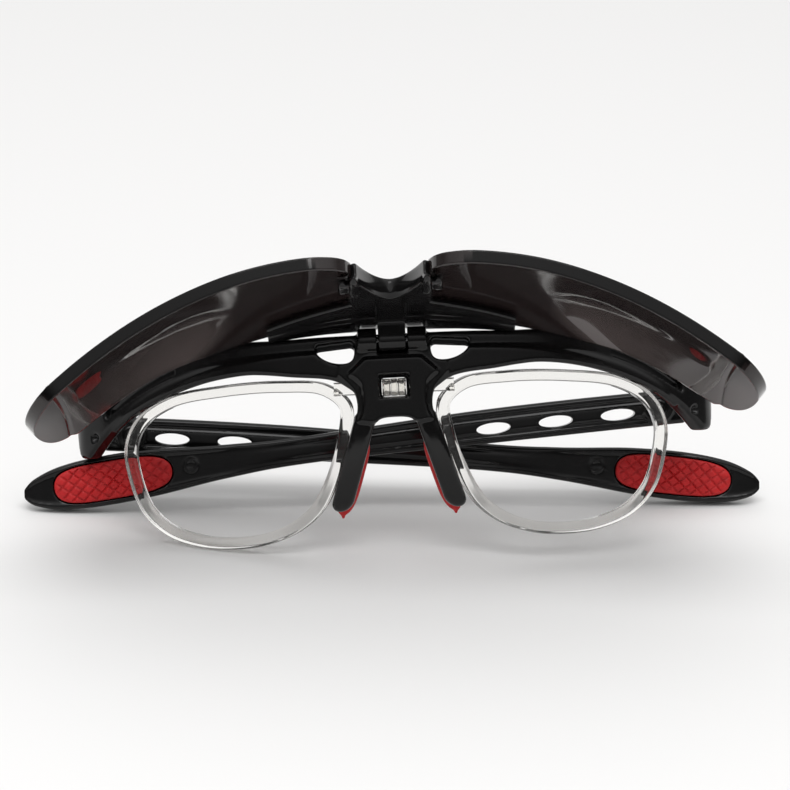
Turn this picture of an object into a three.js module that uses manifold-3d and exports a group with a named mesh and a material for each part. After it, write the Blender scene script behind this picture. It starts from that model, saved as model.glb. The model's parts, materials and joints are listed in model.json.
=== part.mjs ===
// Flip-up cycling sunglasses, folded, with a clear prescription insert.
// Millimetres, +Z up. The pieces are drawn as worn: X across the face, Y from
// the front towards the wearer, Z up, with the origin at the middle of the
// bridge. Left and right are the wearer's, so the left side is +X.
// The tinted pair of lenses is then flipped up, both temples are folded, and
// the whole is stood on the right rim of the insert and both temple tips.

import * as THREE from 'three';
import { mergeVertices } from 'three/addons/utils/BufferGeometryUtils.js';
import Module from 'manifold-3d';

const wasm = await Module();
wasm.setup();

// Driving dimensions

const pieceGap = 0.3;            // clearance left between pieces that touch

// Wrap of the front in plan: depth = wrapDepth * (|x| / wrapReach) ^ wrapPower
const wrapDepth = 27.5;
const wrapReach = 68;
const wrapPower = 2.5;

// Brow bar and its end lugs
const barDepth = 5;              // front to back
const barHalfHeight = 2.4;       // half its height over the eye
const barCorner = 0.9;
const barMidHeight = 8.7;        // height of its middle at the bridge
const barEndDrop = 15;           // fall of its middle from bridge to lug
const barDropPower = 3.6;
const lugReach = 60;             // x where the bar turns back into the lug
const lugHalfHeight = 4.1;
const lugFlarePower = 8;
const lugTurnRadius = 3.5;
const lugLength = 5.8;           // straight run from the turn to the hinge
const lugThickness = 4.2;
const hingeHalfHeight = 2.6;     // half height of the lug's hinge knuckle
const hingeRise = 1;             // middle of the hinge above the middle of the lug
const browSlotFrom = 42;         // long pocket in the front of the bar's end
const browSlotTo = 55;
const browSlotHeight = 1.8;
const browSlotDepth = 1.6;
const ventOffset = 11.6;         // D-shaped vents beside the bridge
const ventHeight = 7.4;
const ventWidth = 7.6;
const ventRise = 4.2;

// Bridge plate with the two nose arms
const plateDepth = 3.6;
const plateTop = 6.6;
const plateShoulderReach = 17;   // where its shoulders run out along the bar
const plateWaistHalf = 6.6;      // half width at the window
const archTop = -5.6;            // underside of the bridge between the arms
const archHalf = 3.6;
const armTipReach = 10.6;
const armTipHeight = -21.4;
const armHalfWidth = 2.1;
const armSweep = 5;              // how far the arm tips lean back
const windowWidth = 5;
const windowHeight = 3.8;

// Flip hinge on top of the bridge
const flipAxisY = 1.2;
const flipAxisZ = 9;
const flipAngle = 106;           // from worn to raised, degrees
const knuckleRadius = 2.2;
const knuckleHalfWidth = 2.6;
const flipPinRadius = 0.7;
const flipPinHalfLength = 6;

// Lens carrier and tinted lenses
const carrierOffset = 1.7;       // its inner face, ahead of the brow bar
const carrierThickness = 3.4;
const carrierTop = 8;
const carrierHalfWidth = 7.4;
const carrierNotch = -9;        // nose notch at the middle
const carrierFoot = -22.5;
const wingReach = 23;
const wingRootHeight = 12;
const wingTipHeight = 5;
const wingThickness = 1;
const lensGap = 3.5;             // its inner face, ahead of the brow bar
const lensThickness = 1.8;
const lensVerticalRadius = 300;
const lensMidHeight = -10;
const lensInnerReach = 7.8;
const lensOuterReach = 64.4;
const lensTip = -13;             // height of the rounded outer tip
const lensTipLength = 5;

// Prescription insert
const rimInnerReach = 7.7;        // nasal side of a rim, from the middle
const rimOuterInset = 8.1;        // outer side of a rim, short of the lug
const rimCentreY = 10.4;
const rimDrop = 1.1;             // clearance of the rims under the brow bar
const rimWrapAngle = 12;         // degrees
const rimWidth = 2.3;
const rimDepth = 2.8;
const insertBarHeight = 2.6;
const insertBarDepth = 2.4;

// Nose pads
const padThickness = 1.9;
const padHalfWidth = 2;
const padTopHeight = -9.5;
const padFootHeight = -24.4;
const padInset = 0.7;            // set in from the middle of the arm
const padStandOff = 0.35;

// Temples
const templeLength = 133;
const templeStart = 2.8;         // from the hinge axis to the end of the body
const templeBaseDrop = 1.6;      // its middle, below the middle of the hinge
const templeSag = 0.052;         // slope of the straight part
const templeCurl = 0.00031;      // its growth towards the ear
const templeBaseHalf = 3.4;       // half heights of the temple
const templeWaistHalf = 2.7;
const templeTipHalf = 4.9;
const templeBaseThickness = 3.4;
const templeMidThickness = 2.8;
const templeTipThickness = 3.4;
const templeSlots = 3;
const templeSlotFirst = 16;
const templeSlotPitch = 12.3;
const templeSlotLength = 6.8;
const templeSlotHeight = 2.5;
const templeBossAt = 8;
const templeBossRadius = 3;
const templeBossRise = 0.35;
const leftFold = -2;           // fold angle short of square, degrees
const rightFold = 3.7;
const leftPlay = 0.5;            // tilt that hinge play gives each temple, degrees
const rightPlay = 2;
const tongueHeight = 2.2;
const tongueInset = 0.6;         // its reach ahead of the hinge axis
const screwRadius = 0.8;
const screwHeadRadius = 1.3;
const screwHeadHeight = 0.4;

// Rubber grips let into the temple tips
const gripInset = 17.5;          // from the temple tip to the middle of the grip
const gripLength = 24;
const gripHeight = 7.8;
const gripDepth = 1.2;           // depth of its pocket
const gripProud = 0.5;

// Finishes

const finish = {
  frame: { color: 0x0c0c0d, roughness: 0.22, metalness: 0 },
  lens: { color: 0x2a2221, roughness: 0.06, metalness: 0, transparent: true, opacity: 0.8 },
  clear: { color: 0xf3f2ee, roughness: 0.08, metalness: 0, transparent: true, opacity: 0.35 },
  rubber: { color: 0xb3161b, roughness: 0.6, metalness: 0 },
  steel: { color: 0x9a9a9c, roughness: 0.35, metalness: 1 },
};

// Solids from three.js geometry

function toSolid(geometry) {
  const bare = geometry.clone();
  for (const name of Object.keys(bare.attributes)) {
    if (name !== 'position') bare.deleteAttribute(name);
  }
  const merged = mergeVertices(bare, 1e-4);
  return new wasm.Manifold(new wasm.Mesh({
    numProp: 3,
    vertProperties: new Float32Array(merged.attributes.position.array),
    triVerts: new Uint32Array(merged.index.array),
  }));
}

function toGeometry(solid) {
  const mesh = solid.getMesh();
  const geometry = new THREE.BufferGeometry();
  geometry.setAttribute('position', new THREE.BufferAttribute(mesh.vertProperties, 3));
  geometry.setIndex(new THREE.BufferAttribute(mesh.triVerts, 1));
  geometry.computeVertexNormals();
  return geometry;
}

function join(...geometries) {
  return geometries.map(toSolid).reduce((all, next) => all.add(next));
}

function cut(solid, ...geometries) {
  return geometries.map(toSolid).reduce((rest, tool) => rest.subtract(tool), solid);
}

// Skin over a row of rings, closed by a strip across each end ring
function loft(rings) {
  const count = rings[0].length;
  const positions = rings.flat().flatMap((point) => [point.x, point.y, point.z]);
  const faces = [];
  for (let i = 0; i < rings.length - 1; i += 1) {
    for (let j = 0; j < count; j += 1) {
      const a = i * count + j;
      const b = i * count + ((j + 1) % count);
      faces.push([a, b, b + count], [a, b + count, a + count]);
    }
  }
  for (const [start, flip] of [[0, true], [(rings.length - 1) * count, false]]) {
    for (let j = 0; j < count / 2 - 1; j += 1) {
      const near = start + j;
      const far = start + count - 1 - j;
      const strip = [[near, near + 1, far - 1], [near, far - 1, far]];
      faces.push(...strip.map((face) => (flip ? face.toReversed() : face)));
    }
  }
  const geometry = new THREE.BufferGeometry();
  geometry.setAttribute('position', new THREE.Float32BufferAttribute(positions, 3));
  geometry.setIndex(faces.flat());
  return faceOutwards(geometry);
}

// Turn every face of a closed skin round where the skin is inside out
function faceOutwards(geometry) {
  const at = (index) => new THREE.Vector3().fromBufferAttribute(geometry.attributes.position, index);
  const index = geometry.index.array;
  let volume = 0;
  for (let i = 0; i < index.length; i += 3) {
    volume += at(index[i]).dot(at(index[i + 1]).cross(at(index[i + 2])));
  }
  if (volume < 0) geometry.setIndex(Array.from(index).reverse());
  return geometry;
}

// Corner-rounded rectangle as [across, up] pairs, in order round the section
function roundedSection(halfAcross, halfUp, corner, steps = 2) {
  const points = [];
  for (let quarter = 0; quarter < 4; quarter += 1) {
    const signs = [[1, 1], [-1, 1], [-1, -1], [1, -1]][quarter];
    for (let step = 0; step <= steps; step += 1) {
      const angle = (Math.PI / 2) * (quarter + step / steps);
      points.push([
        signs[0] * (halfAcross - corner) + corner * Math.cos(angle),
        signs[1] * (halfUp - corner) + corner * Math.sin(angle),
      ]);
    }
  }
  return points;
}

// A flat outline in X and Z, given depth from y = front backwards
function plate(shape, front, depth, segments = 8) {
  const geometry = new THREE.ExtrudeGeometry(shape, { depth, bevelEnabled: false, curveSegments: segments });
  return geometry.rotateX(Math.PI / 2).translate(0, front + depth, 0);
}

function box(low, high) {
  const size = high.map((value, axis) => value - low[axis]);
  const middle = high.map((value, axis) => (value + low[axis]) / 2);
  return new THREE.BoxGeometry(...size).translate(...middle);
}

function rod(radius, from, to, axis, sides = 16) {
  const geometry = new THREE.CylinderGeometry(radius, radius, to - from, sides);
  geometry.translate(0, (from + to) / 2, 0);
  if (axis === 'x') geometry.rotateZ(-Math.PI / 2);
  if (axis === 'z') geometry.rotateX(Math.PI / 2);
  return geometry;
}

// The wrapped front: a place across x, ahead of the bar's front face, at a height

const wrapAt = (x) => wrapDepth * (Math.abs(x) / wrapReach) ** wrapPower;
const wrapSlope = (x) => Math.sign(x) * (wrapPower / Math.abs(x || 1)) * wrapAt(x);

function wrapped(x, ahead, z) {
  const slope = wrapSlope(x);
  const length = Math.hypot(1, slope);
  return new THREE.Vector3(x + (ahead * slope) / length, wrapAt(x) - ahead / length, z);
}

const degrees = THREE.MathUtils.degToRad;

// A smooth height over x, through a few points
function through(points) {
  const curve = new THREE.SplineCurve(points.map(([x, z]) => new THREE.Vector2(x, z)));
  const samples = curve.getPoints(160);
  return (x) => {
    const after = samples.findIndex((point) => point.x >= x);
    if (after <= 0) return after === 0 ? samples[0].y : samples.at(-1).y;
    const [low, high] = [samples[after - 1], samples[after]];
    return low.y + ((high.y - low.y) * (x - low.x)) / (high.x - low.x || 1);
  };
}

// Where the hinge of a temple lies, from the path of the bar

const barMiddleAt = (x) => barMidHeight - barEndDrop * (Math.abs(x) / lugReach) ** barDropPower;
const barHalfAt = (x) => barHalfHeight
  + (lugHalfHeight - barHalfHeight) * (Math.abs(x) / lugReach) ** lugFlarePower;

const barDepthAt = (x) => THREE.MathUtils.lerp(barDepth, lugThickness, (x / lugReach) ** 2);

const lugRoot = wrapped(lugReach, -lugThickness / 2, barMiddleAt(lugReach));
const lugRootAngle = Math.atan(wrapSlope(lugReach));
const lugTurnCentre = {
  x: lugRoot.x - lugTurnRadius * Math.sin(lugRootAngle),
  y: lugRoot.y + lugTurnRadius * Math.cos(lugRootAngle),
};
const hinge = new THREE.Vector3(
  lugTurnCentre.x + lugTurnRadius,
  lugTurnCentre.y + lugLength,
  lugRoot.z + hingeRise,
);

// Main frame: brow bar, bridge plate with nose arms, end lugs

function browBar() {
  const stations = 40;
  const section = (x) => {
    const halfDepth = barDepthAt(x) / 2;
    const ring = roundedSection(halfDepth, barHalfAt(x), barCorner);
    return ring.map(([across, up]) => wrapped(x, across - halfDepth, barMiddleAt(x) + up));
  };
  const rings = [];
  for (let i = 0; i <= stations; i += 1) {
    rings.push(section(lugReach * ((2 * i) / stations - 1)));
  }
  return loft(rings);
}

function lug(side) {
  const turnSteps = 5;
  const rings = [];
  const place = (x, y, angle, share) => {
    const narrowing = Math.min(1, share * 2.2);
    const half = THREE.MathUtils.lerp(lugHalfHeight, hingeHalfHeight, narrowing);
    const middle = THREE.MathUtils.lerp(lugRoot.z, hinge.z, narrowing);
    rings.push(roundedSection(lugThickness / 2, half, barCorner).map(([across, up]) => new THREE.Vector3(
      side * (x + across * Math.sin(angle)),
      y - across * Math.cos(angle),
      middle + up,
    )));
  };
  for (let i = 0; i <= turnSteps; i += 1) {
    const angle = THREE.MathUtils.lerp(lugRootAngle, Math.PI / 2, i / turnSteps);
    place(
      lugTurnCentre.x + lugTurnRadius * Math.sin(angle),
      lugTurnCentre.y - lugTurnRadius * Math.cos(angle),
      angle,
      i / turnSteps,
    );
  }
  place(hinge.x, hinge.y, Math.PI / 2, 1);
  return loft(rings);
}

function lugEnd(side) {
  const round = rod(lugThickness / 2, -hingeHalfHeight, hingeHalfHeight, 'z', 20);
  return round.translate(side * hinge.x, hinge.y, hinge.z);
}

// Room for the tongue of the temple and for the screw, about the hinge axis
function lugCuts(side) {
  const slotHalf = tongueHeight / 2 + pieceGap;
  const slotRadius = lugThickness / 2 + pieceGap;
  const slot = rod(slotRadius, -slotHalf, slotHalf, 'z', 20);
  const behind = box([-slotRadius, 0, -slotHalf], [slotRadius, slotRadius, slotHalf]);
  const hole = rod(screwRadius + pieceGap, -hingeHalfHeight - 1, hingeHalfHeight + 1, 'z');
  const headTop = screwHeadHeight + pieceGap - hingeHalfHeight;
  const head = rod(screwHeadRadius + pieceGap, -hingeHalfHeight - 1, headTop, 'z');
  return [slot, behind, hole, head].map((tool) => tool.translate(side * hinge.x, hinge.y, hinge.z));
}

function bridgePlate() {
  const foot = archHalf + 2 * armHalfWidth;
  const shoulder = barMiddleAt(plateShoulderReach);
  const shape = new THREE.Shape();
  shape.moveTo(-plateShoulderReach, shoulder);
  shape.lineTo(-knuckleHalfWidth, plateTop);
  shape.lineTo(knuckleHalfWidth, plateTop);
  shape.lineTo(plateShoulderReach, shoulder);
  shape.lineTo(plateShoulderReach, shoulder - barHalfHeight);
  shape.bezierCurveTo(plateWaistHalf + 2, plateTop - barHalfHeight, plateWaistHalf, 3, plateWaistHalf, 0);
  shape.quadraticCurveTo(plateWaistHalf, archTop + 2, foot, archTop - 1);
  shape.lineTo(archHalf, archTop - 1);
  shape.quadraticCurveTo(archHalf - 0.6, archTop, 0, archTop);
  shape.quadraticCurveTo(-archHalf + 0.6, archTop, -archHalf, archTop - 1);
  shape.lineTo(-foot, archTop - 1);
  shape.quadraticCurveTo(-plateWaistHalf, archTop + 2, -plateWaistHalf, 0);
  shape.bezierCurveTo(
    -plateWaistHalf,
    3,
    -plateWaistHalf - 2,
    plateTop - barHalfHeight,
    -plateShoulderReach,
    shoulder - barHalfHeight,
  );
  return plate(shape, 0, plateDepth);
}

// The nose arms spread and lean back below the arch
const armDown = (z) => Math.max(0, (archTop - z) / (archTop - armTipHeight));
const armReach = (z) => THREE.MathUtils.lerp(archHalf + armHalfWidth, armTipReach, armDown(z));
const armLean = (z) => armSweep * armDown(z) ** 2;

function noseArm(side) {
  const steps = 9;
  const rings = [];
  for (let i = 0; i <= steps; i += 1) {
    const share = i / steps;
    const z = THREE.MathUtils.lerp(archTop - 0.6, armTipHeight - armHalfWidth, share);
    const end = Math.sqrt(Math.max(0.2, 1 - Math.max(0, (share - 0.8) / 0.2) ** 2));
    const ring = roundedSection(armHalfWidth * end, (plateDepth / 2) * (0.6 + 0.4 * end), 0.7);
    rings.push(ring.map(([across, deep]) => new THREE.Vector3(
      side * (armReach(z) + across),
      plateDepth / 2 + armLean(z) + deep,
      z,
    )));
  }
  return loft(rings);
}

function mainFrame() {
  const vent = (side) => {
    const shape = new THREE.Shape();
    const half = ventWidth / 2;
    shape.moveTo(side * (ventOffset - half), ventHeight + ventRise / 2);
    shape.lineTo(side * (ventOffset + half), ventHeight + ventRise / 3);
    shape.quadraticCurveTo(side * (ventOffset + half), ventHeight, side * ventOffset, ventHeight - ventRise / 2);
    shape.quadraticCurveTo(
      side * (ventOffset - half),
      ventHeight - ventRise / 2,
      side * (ventOffset - half),
      ventHeight + ventRise / 2,
    );
    return plate(shape, -2, barDepth + 6);
  };
  const browSlot = (side) => {
    const ring = roundedSection(browSlotDepth, browSlotHeight / 2, browSlotHeight / 6, 1);
    const rings = [0, 1, 2, 3, 4].map((step) => {
      const x = THREE.MathUtils.lerp(browSlotFrom, browSlotTo, step / 4);
      return ring.map(([across, up]) => wrapped(side * x, across, barMiddleAt(x) + up));
    });
    return loft(rings);
  };
  const swing = rod(
    knuckleRadius + pieceGap,
    -knuckleHalfWidth - pieceGap,
    knuckleHalfWidth + pieceGap,
    'x',
    20,
  ).translate(0, flipAxisY, flipAxisZ);
  const knuckleRoom = box(
    [-knuckleHalfWidth - pieceGap, -5, flipAxisZ - knuckleRadius - pieceGap],
    [knuckleHalfWidth + pieceGap, flipAxisY + knuckleRadius + pieceGap, barMidHeight + lugHalfHeight],
  );
  const pinHole = rod(
    flipPinRadius + pieceGap,
    -flipPinHalfLength - pieceGap,
    flipPinHalfLength + pieceGap,
    'x',
  ).translate(0, flipAxisY, flipAxisZ);
  const window = box(
    [-windowWidth / 2, -1, -windowHeight / 2],
    [windowWidth / 2, plateDepth + 1, windowHeight / 2],
  );
  const ends = [lug(1), lug(-1), lugEnd(1), lugEnd(-1)];
  const whole = join(browBar(), bridgePlate(), noseArm(1), noseArm(-1), ...ends);
  return cut(
    whole,
    vent(1),
    vent(-1),
    browSlot(1),
    browSlot(-1),
    swing,
    knuckleRoom,
    pinHole,
    window,
    ...lugCuts(1),
    ...lugCuts(-1),
  );
}

// Flip carrier: a knuckle on the pin, a body with the nose notch, two wings

function carrier() {
  const stations = 12;
  const half = carrierThickness / 2;
  const middle = carrierOffset + half;
  const footAt = (x) => THREE.MathUtils.lerp(carrierNotch, carrierFoot, (Math.abs(x) / carrierHalfWidth) ** 2);
  const bodyRings = [];
  for (let i = 0; i <= stations; i += 1) {
    const x = carrierHalfWidth * ((2 * i) / stations - 1);
    const height = carrierTop - footAt(x);
    const ring = roundedSection(half, height / 2, barCorner);
    bodyRings.push(ring.map(([across, up]) => wrapped(x, middle + across, footAt(x) + height / 2 + up)));
  }
  const wing = (side) => {
    const rings = [];
    const wingMiddle = carrierOffset - 0.1 + wingThickness / 2;
    for (let i = 0; i <= 8; i += 1) {
      const share = i / 8;
      const x = THREE.MathUtils.lerp(carrierHalfWidth - 1.5, wingReach, share);
      const height = THREE.MathUtils.lerp(wingRootHeight, wingTipHeight, share);
      const ring = roundedSection(wingThickness / 2, height / 2, 0.3, 1);
      rings.push(ring.map(([across, up]) => wrapped(
        side * x,
        wingMiddle + across,
        carrierTop + 0.9 * share - height / 2 + up,
      )));
    }
    return loft(rings);
  };
  const knuckle = rod(knuckleRadius, -knuckleHalfWidth, knuckleHalfWidth, 'x', 20)
    .translate(0, flipAxisY, flipAxisZ);
  const neck = box(
    [-knuckleHalfWidth, -carrierOffset - half, flipAxisZ - knuckleRadius],
    [knuckleHalfWidth, flipAxisY, flipAxisZ],
  );
  const bore = rod(flipPinRadius + pieceGap, -knuckleHalfWidth - 1, knuckleHalfWidth + 1, 'x')
    .translate(0, flipAxisY, flipAxisZ);
  return cut(join(loft(bodyRings), wing(1), wing(-1), knuckle, neck), bore);
}

const lensTop = through([
  [lensInnerReach, 7], [14, 8.2], [24, 9], [38, 10.2], [48, 9.6], [56, 8.2], [lensOuterReach, 6],
]);
const lensBottom = through([
  [lensInnerReach, -23.5], [11, -27.5], [16, -29.4], [26, -29.2], [38, -26.8], [50, -24],
  [lensOuterReach, -21],
]);

// The lens narrows to a rounded tip over its last stretch
function lensEdge(x, edge) {
  const share = Math.max(0, (x - lensOuterReach + lensTipLength) / lensTipLength);
  return lensTip + (edge(x) - lensTip) * Math.sqrt(Math.max(0.02, 1 - share ** 2));
}

function lens(side) {
  const stations = 22;
  const rows = 6;
  const bow = (z) => (z - lensMidHeight) ** 2 / (2 * lensVerticalRadius);
  const rings = [];
  for (let i = 0; i <= stations; i += 1) {
    const share = 1 - (1 - i / stations) ** 1.5;
    const x = THREE.MathUtils.lerp(lensInnerReach, lensOuterReach, share);
    const at = (row, ahead) => {
      const z = THREE.MathUtils.lerp(lensEdge(x, lensBottom), lensEdge(x, lensTop), row / rows);
      return wrapped(side * x, ahead - bow(z), z);
    };
    const inner = Array.from({ length: rows + 1 }, (_, row) => at(row, lensGap));
    const outer = Array.from({ length: rows + 1 }, (_, row) => at(rows - row, lensGap + lensThickness));
    rings.push([...inner, ...outer]);
  }
  return loft(rings);
}

// Prescription insert: two clear rims, a bar behind the bridge, a tab in its window

const rimOuterReach = lugReach - rimOuterInset;
const rimCentreX = (rimInnerReach + rimOuterReach) / 2;
const rimSpread = (rimOuterReach - rimInnerReach) / 44.2;
const rimBarPoint = [19.2, 13.8];
const rimOutline = [
  [8.6, 15.9], [18, 14.6], [22.4, 9.8], [19.2, -1.4], [15.3, -8.8], [11, -12.4], [-0.7, -16],
  [-14.6, -12], [-19.2, -6], [-21.8, 3], [-14.2, 14],
].map(([nasal, up]) => new THREE.Vector3(nasal * rimSpread, up, 0));
const rimCurve = new THREE.CatmullRomCurve3(rimOutline, true, 'centripetal');
const rimCentreZ = Math.min(...rimCurve.getPoints(60).map((point) => {
  const x = rimCentreX - point.x * Math.cos(degrees(rimWrapAngle));
  return barMiddleAt(x) - barHalfAt(x) - rimDrop - point.y;
}));

function rim(side) {
  const steps = 44;
  const rings = [];
  for (let i = 0; i < steps; i += 1) {
    const point = rimCurve.getPoint(i / steps);
    const tangent = rimCurve.getTangent(i / steps);
    const section = roundedSection(rimWidth / 2, rimDepth / 2, 0.7, 1);
    rings.push(section.map(([across, deep]) => new THREE.Vector3(
      -side * (point.x + (across + rimWidth / 2) * tangent.y),
      deep,
      point.y - (across + rimWidth / 2) * tangent.x,
    )));
  }
  const geometry = closedLoft(rings);
  return geometry.rotateZ(side * degrees(rimWrapAngle)).translate(side * rimCentreX, rimCentreY, rimCentreZ);
}

// Skin over rings that run round and meet themselves
function closedLoft(rings) {
  const count = rings[0].length;
  const positions = rings.flat().flatMap((point) => [point.x, point.y, point.z]);
  const faces = [];
  for (let i = 0; i < rings.length; i += 1) {
    const next = (i + 1) % rings.length;
    for (let j = 0; j < count; j += 1) {
      const turn = (j + 1) % count;
      faces.push([i * count + j, i * count + turn, next * count + turn]);
      faces.push([i * count + j, next * count + turn, next * count + j]);
    }
  }
  const geometry = new THREE.BufferGeometry();
  geometry.setAttribute('position', new THREE.Float32BufferAttribute(positions, 3));
  geometry.setIndex(faces.flat());
  return faceOutwards(geometry);
}

// The bar runs from rim to rim, past the tab behind the bridge
function insertBar() {
  const [nasal, up] = rimBarPoint;
  const back = degrees(rimWrapAngle);
  const end = new THREE.Vector3(
    rimCentreX - nasal * rimSpread * Math.cos(back),
    rimCentreY - nasal * rimSpread * Math.sin(back),
    rimCentreZ + up,
  );
  const middle = new THREE.Vector3(0, plateDepth + pieceGap + insertBarDepth / 2, 0);
  const section = roundedSection(insertBarDepth / 2, insertBarHeight / 2, 0.5, 1);
  const ring = (at) => section.map(([deep, high]) => new THREE.Vector3(at.x, at.y - deep, at.z + high));
  const stops = [-1, -0.3, 0.3, 1].map((share) => {
    const reach = Math.abs(share) === 1 ? end : middle;
    return ring(new THREE.Vector3(share * end.x, reach.y, reach.z));
  });
  return loft(stops);
}

function insert() {
  const tab = box(
    [-windowWidth / 2 + pieceGap, 0.8, -windowHeight / 2 + pieceGap],
    [windowWidth / 2 - pieceGap, plateDepth + pieceGap + insertBarDepth, windowHeight / 2 - pieceGap],
  );
  return join(rim(1), rim(-1), insertBar(), tab);
}

// Nose pads behind the arms

function nosePad(side) {
  const steps = 9;
  const rings = [];
  for (let i = 0; i <= steps; i += 1) {
    const share = i / steps;
    const z = THREE.MathUtils.lerp(padTopHeight, padFootHeight, share);
    const swell = Math.sqrt(Math.max(0.12, 1 - (2 * share - 1) ** 4));
    const ring = roundedSection(padHalfWidth * swell, padThickness / 2, 0.8);
    rings.push(ring.map(([across, deep]) => new THREE.Vector3(
      side * (armReach(z) - padInset + across),
      plateDepth + armLean(z) + padStandOff + padThickness / 2 + deep,
      z,
    )));
  }
  return loft(rings);
}

// Temples, drawn from the hinge outwards: along, towards the head, and up

const templeDrop = (along) => templeBaseDrop + templeSag * along + templeCurl * along ** 2;
const templeSlope = (along) => templeSag + 2 * templeCurl * along;
const gripCentre = templeLength - gripInset;
const templeHalf = through([
  [0, templeBaseHalf], [40, templeBaseHalf], [templeLength - 56, templeWaistHalf],
  [templeLength - 40, templeWaistHalf + 0.6], [templeLength - 26, templeTipHalf - 0.3],
  [templeLength - 15, templeTipHalf], [templeLength - 7, templeTipHalf * 0.86],
  [templeLength - 2, templeTipHalf * 0.53], [templeLength, templeTipHalf * 0.18],
]);
const templeThick = through([
  [0, templeBaseThickness], [20, templeBaseThickness], [templeLength - 62, templeMidThickness],
  [templeLength - 32, templeTipThickness], [templeLength - 10, templeTipThickness],
  [templeLength, templeTipThickness * 0.55],
]);

const onTemple = (side) => (along, inward, up) => new THREE.Vector3(-side * along, -inward, up);

function temple(side) {
  const place = onTemple(side);
  const stations = 34;
  const rings = [];
  for (let i = 0; i <= stations; i += 1) {
    const share = i / stations;
    const along = THREE.MathUtils.lerp(templeStart, templeLength, 1 - (1 - share) ** 1.25);
    const half = templeHalf(along);
    const thick = templeThick(along) / 2;
    const ring = roundedSection(thick, half, Math.min(thick, half) * 0.55);
    rings.push(ring.map(([across, up]) => place(along, across, up - templeDrop(along))));
  }
  const tongueHalf = tongueHeight / 2;
  const tongue = rod(lugThickness / 2, -tongueHalf, tongueHalf, 'z', 20);
  const neckEnd = -side * (templeStart + 2);
  const neck = box(
    [Math.min(0, neckEnd), -tongueInset, -tongueHalf],
    [Math.max(0, neckEnd), lugThickness / 2, tongueHalf],
  );
  const boss = new THREE.CylinderGeometry(templeBossRadius, templeBossRadius, templeBossRise + 1, 24);
  boss.translate(-side * templeBossAt, -templeBaseThickness / 2 - templeBossRise / 2 + 0.5, -templeDrop(templeBossAt));
  const slots = [];
  for (let i = 0; i < templeSlots; i += 1) {
    const along = templeSlotFirst + i * templeSlotPitch;
    const shape = new THREE.Shape();
    shape.absellipse(0, 0, templeSlotLength / 2, templeSlotHeight / 2, 0, 2 * Math.PI);
    const slot = plate(shape, -5, 10, 10);
    slot.rotateY(-side * templeSlope(along)).translate(-side * along, 0, -templeDrop(along));
    slots.push(slot);
  }
  const bore = rod(screwRadius + pieceGap, -tongueHeight, tongueHeight, 'z');
  return cut(join(loft(rings), tongue, neck, boss), bore, gripBlock(side, pieceGap), ...slots);
}

// The grip's outline on the inner face of the temple, grown by a clearance
function gripBlock(side, grow) {
  const shape = new THREE.Shape();
  const halfLength = gripLength / 2 + grow;
  const halfHeight = gripHeight / 2 + grow;
  shape.moveTo(-halfLength, 0);
  shape.bezierCurveTo(-halfLength, halfHeight, -halfLength * 0.6, halfHeight, 0, halfHeight);
  shape.bezierCurveTo(halfLength * 0.6, halfHeight, halfLength, halfHeight * 0.9, halfLength, 0);
  shape.bezierCurveTo(halfLength, -halfHeight * 0.9, halfLength * 0.6, -halfHeight, 0, -halfHeight);
  shape.bezierCurveTo(-halfLength * 0.6, -halfHeight, -halfLength, -halfHeight, -halfLength, 0);
  const face = -templeTipThickness / 2 - gripProud;
  const floor = -templeTipThickness / 2 + gripDepth - pieceGap;
  const block = plate(shape, face - (grow > 0 ? 1 : 0), floor - face + (grow > 0 ? 1 + grow : 0), 8);
  return block
    .rotateY(-side * templeSlope(gripCentre))
    .translate(-side * gripCentre, 0, -templeDrop(gripCentre));
}

function hingeScrew() {
  const profile = [
    [0, -hingeHalfHeight], [screwHeadRadius, -hingeHalfHeight],
    [screwHeadRadius, screwHeadHeight - hingeHalfHeight], [screwRadius, screwHeadHeight - hingeHalfHeight],
    [screwRadius, hingeHalfHeight], [0, hingeHalfHeight],
  ].map(([radius, height]) => new THREE.Vector2(radius, height));
  return new THREE.LatheGeometry(profile, 16).rotateX(Math.PI / 2);
}

// Assembly

function piece(name, geometry, look) {
  const mesh = new THREE.Mesh(geometry, new THREE.MeshStandardMaterial(finish[look]));
  mesh.name = name;
  return mesh;
}

const sides = [['left', 1], ['right', -1]];
const glasses = new THREE.Group();

glasses.add(piece('main_frame', toGeometry(mainFrame()), 'frame'));
glasses.add(piece('prescription_insert', toGeometry(insert()), 'clear'));
for (const [name, side] of sides) {
  glasses.add(piece(`${name}_nose_pad`, nosePad(side), 'rubber'));
}

const flip = new THREE.Group();
flip.position.set(0, flipAxisY, flipAxisZ);
flip.rotation.x = -degrees(flipAngle);
const raised = (mesh) => {
  mesh.geometry.translate(0, -flipAxisY, -flipAxisZ);
  flip.add(mesh);
};
raised(piece('flip_carrier', toGeometry(carrier()), 'frame'));
for (const [name, side] of sides) {
  raised(piece(`${name}_tinted_lens`, lens(side), 'lens'));
}
glasses.add(flip);

const flipPin = rod(flipPinRadius, -flipPinHalfLength, flipPinHalfLength, 'x', 14);
glasses.add(piece('flip_pin', flipPin.translate(0, flipAxisY, flipAxisZ), 'steel'));

for (const [name, side] of sides) {
  const arm = new THREE.Group();
  arm.position.set(side * hinge.x, hinge.y, hinge.z);
  arm.rotation.z = degrees(side > 0 ? -leftFold : rightFold);
  arm.rotation.y = degrees(side > 0 ? leftPlay : rightPlay);
  arm.add(piece(`${name}_temple`, toGeometry(temple(side)), 'frame'));
  arm.add(piece(`${name}_grip`, gripBlock(side, 0), 'rubber'));
  glasses.add(arm);
  const screw = piece(`${name}_hinge_screw`, hingeScrew(), 'steel');
  screw.position.copy(arm.position);
  glasses.add(screw);
}

// Stand the folded glasses on the right rim and the two temple tips, over the origin

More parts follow.
